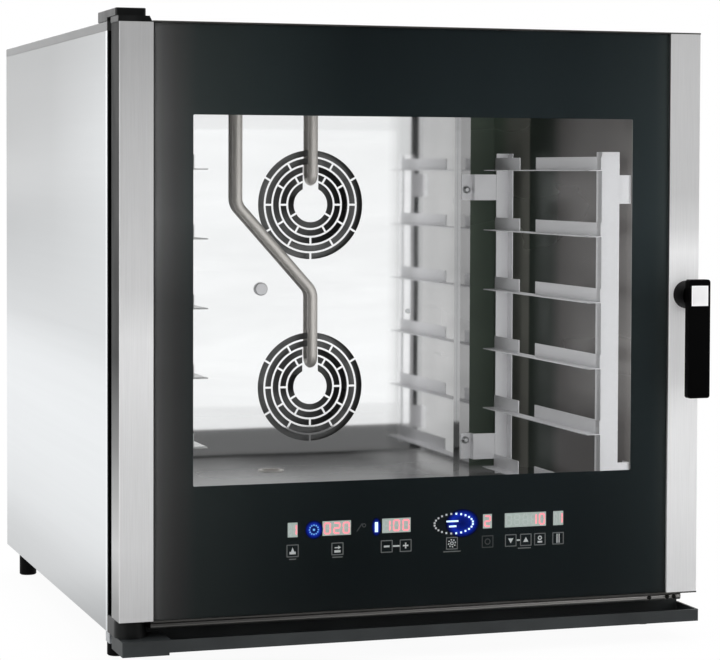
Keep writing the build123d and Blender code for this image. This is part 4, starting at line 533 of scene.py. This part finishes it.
def glowing(name, color, strength):
    """A lit symbol or segment, or a print or pane given a painted glow: its colour comes mostly from its
    own light.
    """
    look = Look(name, color, 0.4)
    look.set("Emission Color", (*color, 1))
    look.set("Emission Strength", strength)
    patchy = look.noise((500, 500, 500), detail=1.0)
    dimmer = tuple(c * 0.85 for c in color)
    look.paint(look.blend(look.spread(patchy, 0, 1), dimmer, color))
    return look.material


looks = {
    "casing_steel": casing_sheet().material,
    # Painted shade: the lid's sides darker than its top face.
    "cover_lid": brushed(
        "cover_lid", (0.5, 0.505, 0.51), 0.4, (1.5, 90, 90), 0.025, 0.000002,
        painted_light_levels=((lid_top - 0.02, 0.47), (lid_top - 0.6 * MM, 0.47), (lid_top - 0.3 * MM, 1.0)),
    ).material,
    # Painted reflection: each trim's levels up its height.
    "left_trim_steel": trim(
        "left_door_trim",
        (
            (0.08, 0.68), (0.17, 0.84), (0.31, 0.9), (0.4, 1.0),
            (0.45, 1.0), (0.52, 0.81), (0.72, 0.66), (0.85, 0.52),
        ),
        metallic=0.3,
    ).material,
    "right_trim_steel": trim(
        "right_door_trim",
        (
            (0.1, 0.8), (0.21, 0.92), (0.4, 1.0), (0.565, 1.0),
            (0.6, 0.76), (0.65, 0.62), (0.8, 0.6), (0.88, 0.57),
        ),
        metallic=0.15,
    ).material,
    "galvanised_steel": galvanised().material,
    "cavity_steel": cavity_sheet().material,
    "cover_steel": fan_cover_sheet().material,
    "front_steel": front_sheet().material,
    "rack_steel": brushed(
        "rack_steel", (0.7, 0.695, 0.71), 0.42, (220, 12, 220), 0.06, 0.000004, metallic=0.5
    ).material,
    # Painted light: the left rack is the same steel as rack_steel, lighter and less metallic as if lit.
    "left_rack_steel_painted_lighter": brushed(
        "left_rack_steel_painted_lighter", (0.95, 0.95, 0.95), 0.42, (220, 12, 220), 0.04, 0.000004, metallic=0.1
    ).material,
    "tube_steel": brushed(
        "tube_steel", (0.74, 0.705, 0.67), 0.45, (500, 500, 14), 0.1, 0.00001, metallic=0.6
    ).material,
    # Painted shade: the fan wheel is painted dark so the slots of the cover in front of it read dark.
    "fan_steel": brushed("fan_steel", (0.15, 0.15, 0.15), 0.4, (300, 300, 300), 0.2).material,
    "heater_steel": enamelled("heater_steel", (0.05, 0.045, 0.042), 0.55, Metallic=0.6).material,
    "motor_paint": enamelled("motor_paint", (0.03, 0.03, 0.033), 0.5).material,
    "door_frame_black": enamelled(
        "door_frame_black", (0.04, 0.039, 0.037), 0.55, Specular_IOR_Level=0.1
    ).material,
    "door_side": door_side().material,
    "hinge_black": enamelled(
        "hinge_black", (0.003, 0.0035, 0.0035), 0.34, Specular_IOR_Level=0.2
    ).material,
    "gutter_steel": gutter_sheet().material,
    "black_plastic": moulded("black_plastic", (0.012, 0.012, 0.013), 0.42).material,
    "lever_black": moulded("lever_black", (0.0006, 0.0006, 0.0007), 0.5, Specular_IOR_Level=0.05).material,
    "tray_plastic": moulded("tray_plastic", (0.018, 0.021, 0.022), 0.5).material,
    "gasket_rubber": moulded("gasket_rubber", (0.02, 0.02, 0.02), 0.7).material,
    "mineral_wool": wool().material,
    "board": board_green().material,
    "valve_brass": brushed("valve_brass", (0.62, 0.42, 0.16), 0.28, (700, 20, 700), 0.15).material,
    "glass": clear_glass("glass", (0.985, 0.988, 0.988), 1.2),
    "lamp_glass": clear_glass("lamp_glass", (0.92, 0.92, 0.9), 1.45, 0.15),
    "screw_zinc": brushed("screw_zinc", (0.66, 0.67, 0.68), 0.3, (600, 600, 600), 0.2).material,
    "print_black": printed().material,
    "badge": badge().material,
}

# Which look each node wears, where it isn't the one named after its slot in the record
node_looks = {
    "left_door_trim": "left_trim_steel",
    "right_door_trim": "right_trim_steel",
    "left_door_profile": "door_side",
    "top_cover": "cover_lid",
    "front_frame": "front_steel",
    "handle_lever": "lever_black",
    "handle_bush": "lever_black",
    "levelling_feet": "lever_black",
    "fan_cover_plate": "cover_steel",
    "left_tray_rack": "left_rack_steel_painted_lighter",
    "hinge_top_bracket": "hinge_black",
    "hinge_bottom_bracket": "hinge_black",
    "door_hinge_plate": "hinge_black",
    "drip_tray": "tray_plastic",
    "casing_screws": "screw_zinc",
    "hinge_pins": "screw_zinc",
    "cavity_fasteners": "screw_zinc",
    "handle_badge": "badge",
    "display_modules": "print_black",
}
slot_of = {s["node"]: s["material_slot"] for s in frame["record"]["subparts"]}
for name, node in nodes.items():
    look = looks[node_looks.get(name, slot_of[name])]
    node.data.materials.clear()
    node.data.materials.append(look)


# Flat prints and small plates, drawn in X and Z and given a thickness along Y


def flat_piece(name, outlines, front_y, back_y, material, body):
    """A thin piece from outlines in X and Z: each is an outer ring and any holes, as lists of points."""
    mesh = bmesh.new()
    for rings in outlines:
        edges = []
        for ring in rings:
            corners = [mesh.verts.new((x, front_y, z)) for x, z in ring]
            edges += [mesh.edges.new((a, b)) for a, b in zip(corners, corners[1:] + corners[:1])]
        bmesh.ops.triangle_fill(mesh, use_beauty=True, edges=edges)
    bmesh.ops.recalc_face_normals(mesh, faces=mesh.faces)
    grown = bmesh.ops.extrude_face_region(mesh, geom=list(mesh.faces))
    moved = [v for v in grown["geom"] if isinstance(v, bmesh.types.BMVert)]
    bmesh.ops.translate(mesh, verts=moved, vec=(0, back_y - front_y, 0))
    bmesh.ops.recalc_face_normals(mesh, faces=mesh.faces)
    data = bpy.data.meshes.new(name)
    mesh.to_mesh(data)
    mesh.free()
    piece = bpy.data.objects.new(name, data)
    scene.collection.objects.link(piece)
    data.materials.append(material)
    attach(piece, body)


def rectangle(x, z, width, height):
    return [
        (x - width / 2, z - height / 2),
        (x + width / 2, z - height / 2),
        (x + width / 2, z + height / 2),
        (x - width / 2, z + height / 2),
    ]


def rounded(x, z, width, height, radius, steps=5):
    """A rectangle with round corners."""
    points = []
    for corner in range(4):
        sign_x = (1, -1, -1, 1)[corner]
        sign_z = (1, 1, -1, -1)[corner]
        for step in range(steps + 1):
            angle = pi / 2 * (corner + step / steps)
            points.append(
                (
                    x + sign_x * (width / 2 - radius) + radius * cos(angle),
                    z + sign_z * (height / 2 - radius) + radius * sin(angle),
                )
            )
    return points


def ring(x, z, radius_x, radius_z, steps=32):
    angles = [2 * pi * step / steps for step in range(steps)]
    return [(x + radius_x * cos(angle), z + radius_z * sin(angle)) for angle in angles]


def hollow_square(x, z, size, line, radius):
    return [
        rounded(x, z, size, size, radius),
        rounded(x, z, size - 2 * line, size - 2 * line, radius / 2),
    ]


# The black print on the back of the outer glass, with its window and the holes for the displays
glass_back_y = glass_high.y
door_bottom_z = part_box("left_door_profile")[0].z
PRINT_INSET = 0.3 * MM
PRINT_GAP = 0.05 * MM
PRINT_THICKNESS = 0.1 * MM
mask_front_y = glass_back_y + 3 * PRINT_GAP
symbol_front_y = glass_back_y + PRINT_GAP / 2
WINDOW_HALF_WIDTH = 325 * MM
WINDOW_RISE = 180.5 * MM
WINDOW_HEIGHT = 506 * MM

DISPLAY_RISE = 115.0 * MM
DISPLAY_HEIGHT = 20.4 * MM
# Each display's place, width and the digits that it shows
DISPLAYS = (
    (-183.5, 14.3, " 1"),
    (-119.6, 41.5, "020"),
    (-32.0, 42.2, "100"),
    (104.5, 13.6, "2"),
    (162.5, 63.3, "   10"),
    (213.0, 15.6, " 1"),
)
display_z = door_bottom_z + DISPLAY_RISE


def make_mask():
    half_width = (glass_high.x - glass_low.x) / 2 - PRINT_INSET
    middle = (glass_low.z + glass_high.z) / 2
    window_z = door_bottom_z + WINDOW_RISE + WINDOW_HEIGHT / 2
    outer = rectangle(0, middle, 2 * half_width, glass_high.z - glass_low.z - 2 * PRINT_INSET)
    holes = [rounded(0, window_z, 2 * WINDOW_HALF_WIDTH, WINDOW_HEIGHT, 1.5 * MM)]
    for x, width, _ in DISPLAYS:
        holes.append(rectangle(x * MM, display_z, width * MM, DISPLAY_HEIGHT))
    flat_piece(
        "glass_print",
        [[outer, *holes]],
        mask_front_y,
        mask_front_y + PRINT_THICKNESS,
        looks["print_black"],
        "door",
    )


# The digits in use. Their bars are, in order, the top, upper right, lower right, bottom, lower left,
# upper left and middle one.
SEGMENTS = {
    "0": "1111110",
    "1": "0110000",
    "2": "1101101",
    " ": "0000000",
}


def segment_outlines(digit, x, z, width, height, stroke, lit=True):
    """The lit, or unlit, bars of one digit."""
    left, right = x - width / 2 + stroke / 2, x + width / 2 - stroke / 2
    top, bottom = z + height / 2 - stroke / 2, z - height / 2 + stroke / 2
    bars = (
        ((left, top), (right, top)),
        ((right, top), (right, z)),
        ((right, z), (right, bottom)),
        ((left, bottom), (right, bottom)),
        ((left, z), (left, bottom)),
        ((left, top), (left, z)),
        ((left, z), (right, z)),
    )
    tip, gap = stroke / 2, stroke * 0.12
    found = []
    for flag, ((x0, z0), (x1, z1)) in zip(SEGMENTS[digit], bars):
        if (flag == "1") != lit:
            continue
        if z0 == z1:
            found.append(
                [[
                    (x0 + gap, z0), (x0 + tip, z0 - tip), (x1 - tip, z0 - tip),
                    (x1 - gap, z0), (x1 - tip, z0 + tip), (x0 + tip, z0 + tip),
                ]]
            )
        else:
            low, high = min(z0, z1), max(z0, z1)
            found.append(
                [[
                    (x0, low + gap), (x0 + tip, low + tip), (x0 + tip, high - tip),
                    (x0, high - gap), (x0 - tip, high - tip), (x0 - tip, low + tip),
                ]]
            )
    return found


def make_displays():
    """A pale window in front of each display module, with its digits on it. The window and the unlit bars
    glow as painted light.
    """
    module_front_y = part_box("display_modules")[0].y
    window_back_y = module_front_y - 0.02 * MM
    window_front_y = mask_front_y + PRINT_THICKNESS / 2
    # Painted light: the panes and unlit bars glow; only the lit digits are the display's own light.
    pane = glowing("display_pane", (0.36, 0.42, 0.39), 0.55)
    lit = glowing("display_lit", (1.0, 0.25, 0.3), 1.0)
    unlit = glowing("display_unlit", (0.42, 0.47, 0.45), 0.5)
    windows, on, off = [], [], []
    for x, width, digits in DISPLAYS:
        windows.append([rectangle(x * MM, display_z, width * MM - 0.2 * MM, DISPLAY_HEIGHT - 0.2 * MM)])
        pitch = width * MM / len(digits)
        for place, digit in enumerate(digits):
            centre = (x - width / 2) * MM + pitch * (place + 0.5)
            size = (pitch * 0.74, DISPLAY_HEIGHT * 0.8, 2.0 * MM)
            on += segment_outlines(digit, centre, display_z, *size)
            off += segment_outlines(digit, centre, display_z, *size, lit=False)
    flat_piece("display_panes", windows, window_front_y, window_back_y, pane, "door")
    digit_y = window_front_y - 0.04 * MM
    flat_piece("display_digits", on, digit_y, window_front_y - 0.01 * MM, lit, "door")
    flat_piece(
        "display_unlit_bars", off, digit_y, window_front_y - 0.01 * MM, unlit, "door"
    )


# The keys. Rises are from the door's lower edge, and places across are in mm from its middle.
BUTTON_RISE = 86 * MM
BUTTON_SIZE = 17.5 * MM
BUTTON_STROKE = 1.3 * MM
BUTTON_CORNER = 0.8 * MM
BUTTONS = (-183.6, -118.6, -46.3, -18.3, 50.9, 140.1, 163.2, 184.8, 212.9)
DIM_BUTTONS = (104.8,)
SYMBOL_STROKE = 1.6 * MM
# Lines between two keys and lines under the keys: each one's place across and its width
LINKS = ((-32.3, 10.0), (151.7, 5.0))
NOTES = ((-183.6, 10.0), (-118.6, 15.0), (50.9, 26.0), (161.0, 20.0))
# The ring of small lamps: its middle, its reach across and up, and how many lamps it has
RING_PLACE = (53.5, 113.8)
RING_REACH = (29.0, 14.0)
RING_LAMPS = 24


def stroke(x0, z0, x1, z1, width=SYMBOL_STROKE):
    """A straight line with a thickness."""
    length = ((x1 - x0) ** 2 + (z1 - z0) ** 2) ** 0.5
    side_x, side_z = (z0 - z1) / length * width / 2, (x1 - x0) / length * width / 2
    near = [(x0 - side_x, z0 - side_z), (x1 - side_x, z1 - side_z)]
    far = [(x1 + side_x, z1 + side_z), (x0 + side_x, z0 + side_z)]
    return [near + far]


def circle_line(x, z, radius, width, steps):
    return [ring(x, z, radius, radius, steps), ring(x, z, radius - width, radius - width, steps)]


def key_symbols(z):
    """A plain symbol in each key: steam over a tray, door, less, more, fan, two arrows, lamp and level."""
    tray, vent, less, more, fan, down, up, lamp, level = [x * MM for x in BUTTONS]
    found = [
        [rectangle(tray, z - 3 * MM, 9 * MM, 3.6 * MM)],
        [[(tray - 2.4 * MM, z - 1.4 * MM), (tray + 2.4 * MM, z - 1.4 * MM), (tray, z + 5 * MM)]],
        [rectangle(vent, z - 3.6 * MM, 9 * MM, 3.4 * MM)],
        [rectangle(vent - 0.6 * MM, z + 1.6 * MM, 7 * MM, 1.6 * MM)],
        [[
            (vent + 1.2 * MM, z + 4.6 * MM),
            (vent + 1.2 * MM, z - 0.6 * MM),
            (vent + 5 * MM, z + 1.6 * MM),
        ]],
        [rectangle(less, z, 8.4 * MM, 2.6 * MM)],
        [rectangle(more, z, 8 * MM, 2 * MM)],
        [rectangle(more, z + 2.6 * MM, 2 * MM, 3 * MM)],
        [rectangle(more, z - 2.6 * MM, 2 * MM, 3 * MM)],
        circle_line(fan, z, 2.6 * MM, 1.1 * MM, 16),
        [[(down - 4 * MM, z + 3 * MM), (down + 4 * MM, z + 3 * MM), (down, z - 4 * MM)]],
        [[(up - 4 * MM, z - 3 * MM), (up + 4 * MM, z - 3 * MM), (up, z + 4 * MM)]],
        [rectangle(lamp, z - 3.8 * MM, 7 * MM, 2.6 * MM)],
        circle_line(lamp, z + 1.8 * MM, 3.2 * MM, 1.6 * MM, 16),
        [rectangle(level - 1.6 * MM, z, 1.6 * MM, 13 * MM)],
        [rectangle(level + 1.6 * MM, z, 1.6 * MM, 13 * MM)],
    ]
    for blade in range(8):
        angle = 2 * pi * blade / 8
        near, far = 4.2 * MM, 6.0 * MM
        swept = angle + 0.3
        start = (fan + near * cos(angle), z + near * sin(angle))
        found.append(stroke(*start, fan + far * cos(swept), z + far * sin(swept)))
    return found


def make_symbols():
    """The printed key outlines and their plain symbols, the lit clock, bar and ring of lamps."""
    z = door_bottom_z + BUTTON_RISE
    back_y = symbol_front_y + 0.04 * MM
    lamp_front_y = symbol_front_y - 0.035 * MM
    # The printed inks glow a little as painted light, and the white ink also makes the unlit lamps glow.
    # The pale and blue marks are the oven's own lamps.
    grey = glowing("print_grey", (0.2, 0.21, 0.21), 0.1)
    white = glowing("print_white", (0.62, 0.64, 0.64), 0.25)
    dim = glowing("print_dim", (0.07, 0.075, 0.075), 0.1)
    blue = (0.006, 0.025, 0.42)
    pale = glowing("lamp_pale", (0.6, 0.8, 0.95), 1.0)
    clock_blue = glowing("clock_blue", (0.12, 0.32, 0.62), 0.8)
    outlines = [hollow_square(x * MM, z, BUTTON_SIZE, BUTTON_STROKE, BUTTON_CORNER) for x in BUTTONS]
    faint = [hollow_square(x * MM, z, BUTTON_SIZE, BUTTON_STROKE, BUTTON_CORNER) for x in DIM_BUTTONS]
    faint += [circle_line(x * MM, z, 4.5 * MM, 1.4 * MM, 20) for x in DIM_BUTTONS]
    outlines += [[rectangle(x * MM, z - 11.6 * MM, width * MM, 1.5 * MM)] for x, width in NOTES]
    signs = key_symbols(z) + [[rectangle(x * MM, z, width * MM, 2.2 * MM)] for x, width in LINKS]
    glyph_x, glyph_z = -84.4 * MM, door_bottom_z + 114.4 * MM
    faint += [
        stroke(glyph_x - 6 * MM, glyph_z - 5.5 * MM, glyph_x + 2 * MM, glyph_z + 5.5 * MM, 1.4 * MM),
        circle_line(glyph_x + 4.6 * MM, glyph_z + 2.6 * MM, 3 * MM, 1.3 * MM, 16),
    ]
    prints = (("key_outlines", outlines, grey), ("key_signs", signs, white), ("dim_prints", faint, dim))
    for name, shapes, ink in prints:
        flat_piece(name, shapes, symbol_front_y, back_y, ink, "door")

    clock_x, clock_z = -152.8 * MM, door_bottom_z + 114.0 * MM
    bar_x, bar_z = -61.6 * MM, door_bottom_z + 113.8 * MM
    ring_x, ring_z = RING_PLACE[0] * MM, door_bottom_z + RING_PLACE[1] * MM
    around_ring = (ring_x + 13 * MM, ring_z)
    halos = (
        (
            "clock_glow", (clock_x, clock_z), (13, 13),
            ((0, 0.1), (0.35, 0.2), (0.6, 0.6), (0.8, 0.25), (1, 0)),
        ),
        ("bar_glow", (bar_x, bar_z), (7, 13), ((0, 0.8), (0.5, 0.5), (1, 0))),
        (
            "ring_glow", around_ring, (25, 20),
            ((0, 0.15), (0.4, 0.3), (0.66, 0.6), (0.82, 0.25), (1, 0)),
        ),
    )
    lit = [[rectangle(bar_x, bar_z, 4.6 * MM, 14 * MM)]]
    lit += [[rectangle(ring_x - 2 * MM, ring_z + 3.4 * MM, 18 * MM, 2.4 * MM)]]
    lit += [[rectangle(ring_x - 1.5 * MM, ring_z - 3.8 * MM, 11 * MM, 2.4 * MM)]]
    clock = [[ring(clock_x, clock_z, 1.8 * MM, 1.8 * MM, 12)]]
    unlit = []
    for lamp in range(RING_LAMPS):
        angle = 2 * pi * (lamp + 0.5) / RING_LAMPS
        place = (ring_x + RING_REACH[0] * MM * cos(angle), ring_z + RING_REACH[1] * MM * sin(angle))
        (lit if cos(angle) > -0.1 else unlit).append([rectangle(*place, 2.7 * MM, 2.7 * MM)])
    for mark in range(12):
        angle = 2 * pi * mark / 12
        inner, outer = 5.4 * MM, 7.4 * MM
        clock.append(
            stroke(
                clock_x + inner * cos(angle), clock_z + inner * sin(angle),
                clock_x + outer * cos(angle), clock_z + outer * sin(angle), 2.0 * MM,
            )
        )
    for name, place, reach, stops in halos:
        reach = tuple(r * MM for r in reach)
        glow = halo(name, blue, place, reach, stops)
        flat_piece(name, [[ring(*place, *reach)]], symbol_front_y, back_y, glow, "door")
    marks = (
        ("lamp_marks", lit, pale), ("clock_marks", clock, clock_blue), ("lamp_marks_off", unlit, white)
    )
    for name, shapes, light in marks:
        flat_piece(name, shapes, lamp_front_y, symbol_front_y, light, "door")


def make_tray_wall_end():
    """The raised back wall of the drip tray runs on over its solid end, up to the hinge block."""
    low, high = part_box("drip_tray")
    left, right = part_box("hinge_bottom_bracket")[1].x + 0.4 * MM, low.x + 67.8 * MM
    back_y, rim_z = low.y + 70 * MM, high.z - 7 * MM
    wall = rectangle((left + right) / 2, (rim_z + high.z) / 2, right - left, high.z - rim_z)
    plastic = looks["tray_plastic"]
    # Its dark plastic also stands in for the shade in the gap above the tray, where the floor would show
    # through.
    flat_piece("tray_wall_end", [[wall]], back_y - 3 * MM, back_y, plastic, "cabinet")


make_camera()
make_mask()
make_displays()
make_symbols()
make_tray_wall_end()


# Studio: pale floor, white backdrop, soft lamps

ROOM_STRENGTH = 0.55
# Mirrors show the room and the floor darker towards the front. The numbers are where that starts and
# ends, as a direction for the room and in metres for the floor, and the brightness at each end.
MIRRORED_ROOM = (-0.93, -0.35, 0.12, 1.0)
MIRRORED_FLOOR = (-1.0, 0.4, 0.14, 1.0)
FLOOR_REACH = 9.0
# How open to the sky a place on the floor is, from and to, and its brightness at each end
FLOOR_SHADOW = (0.0, 0.85, 0.95, 1.0)

def make_world():
    world = bpy.data.worlds.new("studio")
    scene.world = world
    world.use_nodes = True
    tree = world.node_tree
    tree.nodes.clear()
    output = tree.nodes.new("ShaderNodeOutputWorld")
    shown = tree.nodes.new("ShaderNodeBackground")
    shown.inputs["Color"].default_value = (1, 1, 1, 1)
    lit = tree.nodes.new("ShaderNodeBackground")
    lit.inputs["Color"].default_value = (1, 1, 1, 1)
    lit.inputs["Strength"].default_value = ROOM_STRENGTH
    card = tree.nodes.new("ShaderNodeBackground")
    coords = tree.nodes.new("ShaderNodeTexCoord")
    split = tree.nodes.new("ShaderNodeSeparateXYZ")
    tree.links.new(coords.outputs["Generated"], split.inputs["Vector"])
    card.inputs["Color"].default_value = (1, 1, 1, 1)
    tree.links.new(remapped(tree, split.outputs["Y"], *MIRRORED_ROOM), card.inputs["Strength"])
    path = tree.nodes.new("ShaderNodeLightPath")
    background = tree.nodes.new("ShaderNodeMath")
    background.operation = "MAXIMUM"
    tree.links.new(path.outputs["Is Camera Ray"], background.inputs[0])
    tree.links.new(path.outputs["Is Transmission Ray"], background.inputs[1])
    gloss = mixed(
        tree, path.outputs["Is Glossy Ray"], lit.outputs["Background"], card.outputs["Background"]
    )
    room = mixed(tree, background.outputs["Value"], gloss, shown.outputs["Background"])
    tree.links.new(room, output.inputs["Surface"])


def make_floor():
    """A pale floor that is white to the camera, apart from the oven's soft shadow."""
    data = bpy.data.meshes.new("floor")
    corners = [(x * FLOOR_REACH, y * FLOOR_REACH, 0) for x, y in ((-1, -1), (1, -1), (1, 1), (-1, 1))]
    data.from_pydata(corners, [], [(0, 1, 2, 3)])
    floor = bpy.data.objects.new("floor", data)
    scene.collection.objects.link(floor)
    material = bpy.data.materials.new("floor")
    material.use_nodes = True
    tree = material.node_tree
    tree.nodes.clear()
    output = tree.nodes.new("ShaderNodeOutputMaterial")
    plain = tree.nodes.new("ShaderNodeBsdfDiffuse")
    plain.inputs["Color"].default_value = (0.82, 0.82, 0.82, 1)
    near = tree.nodes.new("ShaderNodeAmbientOcclusion")
    near.samples = 12
    near.inputs["Distance"].default_value = 0.16
    shown = tree.nodes.new("ShaderNodeEmission")
    tree.links.new(remapped(tree, near.outputs["AO"], *FLOOR_SHADOW), shown.inputs["Strength"])
    coords = tree.nodes.new("ShaderNodeTexCoord")
    split = tree.nodes.new("ShaderNodeSeparateXYZ")
    tree.links.new(coords.outputs["Object"], split.inputs["Vector"])
    mirrored = tree.nodes.new("ShaderNodeEmission")
    tree.links.new(remapped(tree, split.outputs["Y"], *MIRRORED_FLOOR), mirrored.inputs["Strength"])
    path = tree.nodes.new("ShaderNodeLightPath")
    gloss = mixed(tree, path.outputs["Is Glossy Ray"], plain.outputs["BSDF"], mirrored.outputs["Emission"])
    surface = mixed(tree, path.outputs["Is Camera Ray"], gloss, shown.outputs["Emission"])
    tree.links.new(surface, output.inputs["Surface"])
    data.materials.append(material)


# Each lamp's name, place, target, width, height and power, and whether mirrors show it
LAMPS = (
    ("left_softbox", (-3.2, -2.2, 1.9), (0, 0, 0.45), 2.8, 2.8, 70, True),
    ("right_softbox", (2.8, -1.6, 1.6), (0, 0, 0.45), 2.8, 2.8, 36, True),
    ("top_softbox", (0, 0.2, 3.2), (0, 0, 0.4), 3.6, 3.6, 50, True),
    ("back_softbox", (0.5, 3.4, 1.8), (0, 0, 0.45), 3.0, 2.6, 40, True),
    ("cavity_light", (0, -0.34, 0.502), (0, 0.2, 0.502), 0.65, 0.565, 1.15, True),
    ("rack_light", (0.325, -0.374, 0.45), (0.325, 0, 0.45), 0.06, 0.56, 0.22, False),
    ("wall_light", (0.352, -0.152, 0.49), (0, -0.152, 0.49), 0.445, 0.62, 0.48, True),
    ("sill_light", (0, -0.34, 0.196), (0, 0.2, 0.196), 0.65, 0.046, 0.013, True),
)


def soft_lamp(name, place, target, width, height, power, glossy):
    data = bpy.data.lights.new(name, "AREA")
    data.shape = "RECTANGLE"
    data.size = width
    data.size_y = height
    data.energy = power
    lamp = bpy.data.objects.new(name, data)
    scene.collection.objects.link(lamp)
    lamp.location = place
    lamp.rotation_euler = (Vector(target) - Vector(place)).to_track_quat("-Z", "Y").to_euler()
    lamp.visible_camera = False
    lamp.visible_glossy = glossy


make_world()
make_floor()
for lamp in LAMPS:
    soft_lamp(*lamp)

scene.view_settings.view_transform = "Standard"
scene.cycles.transparent_max_bounces = 24
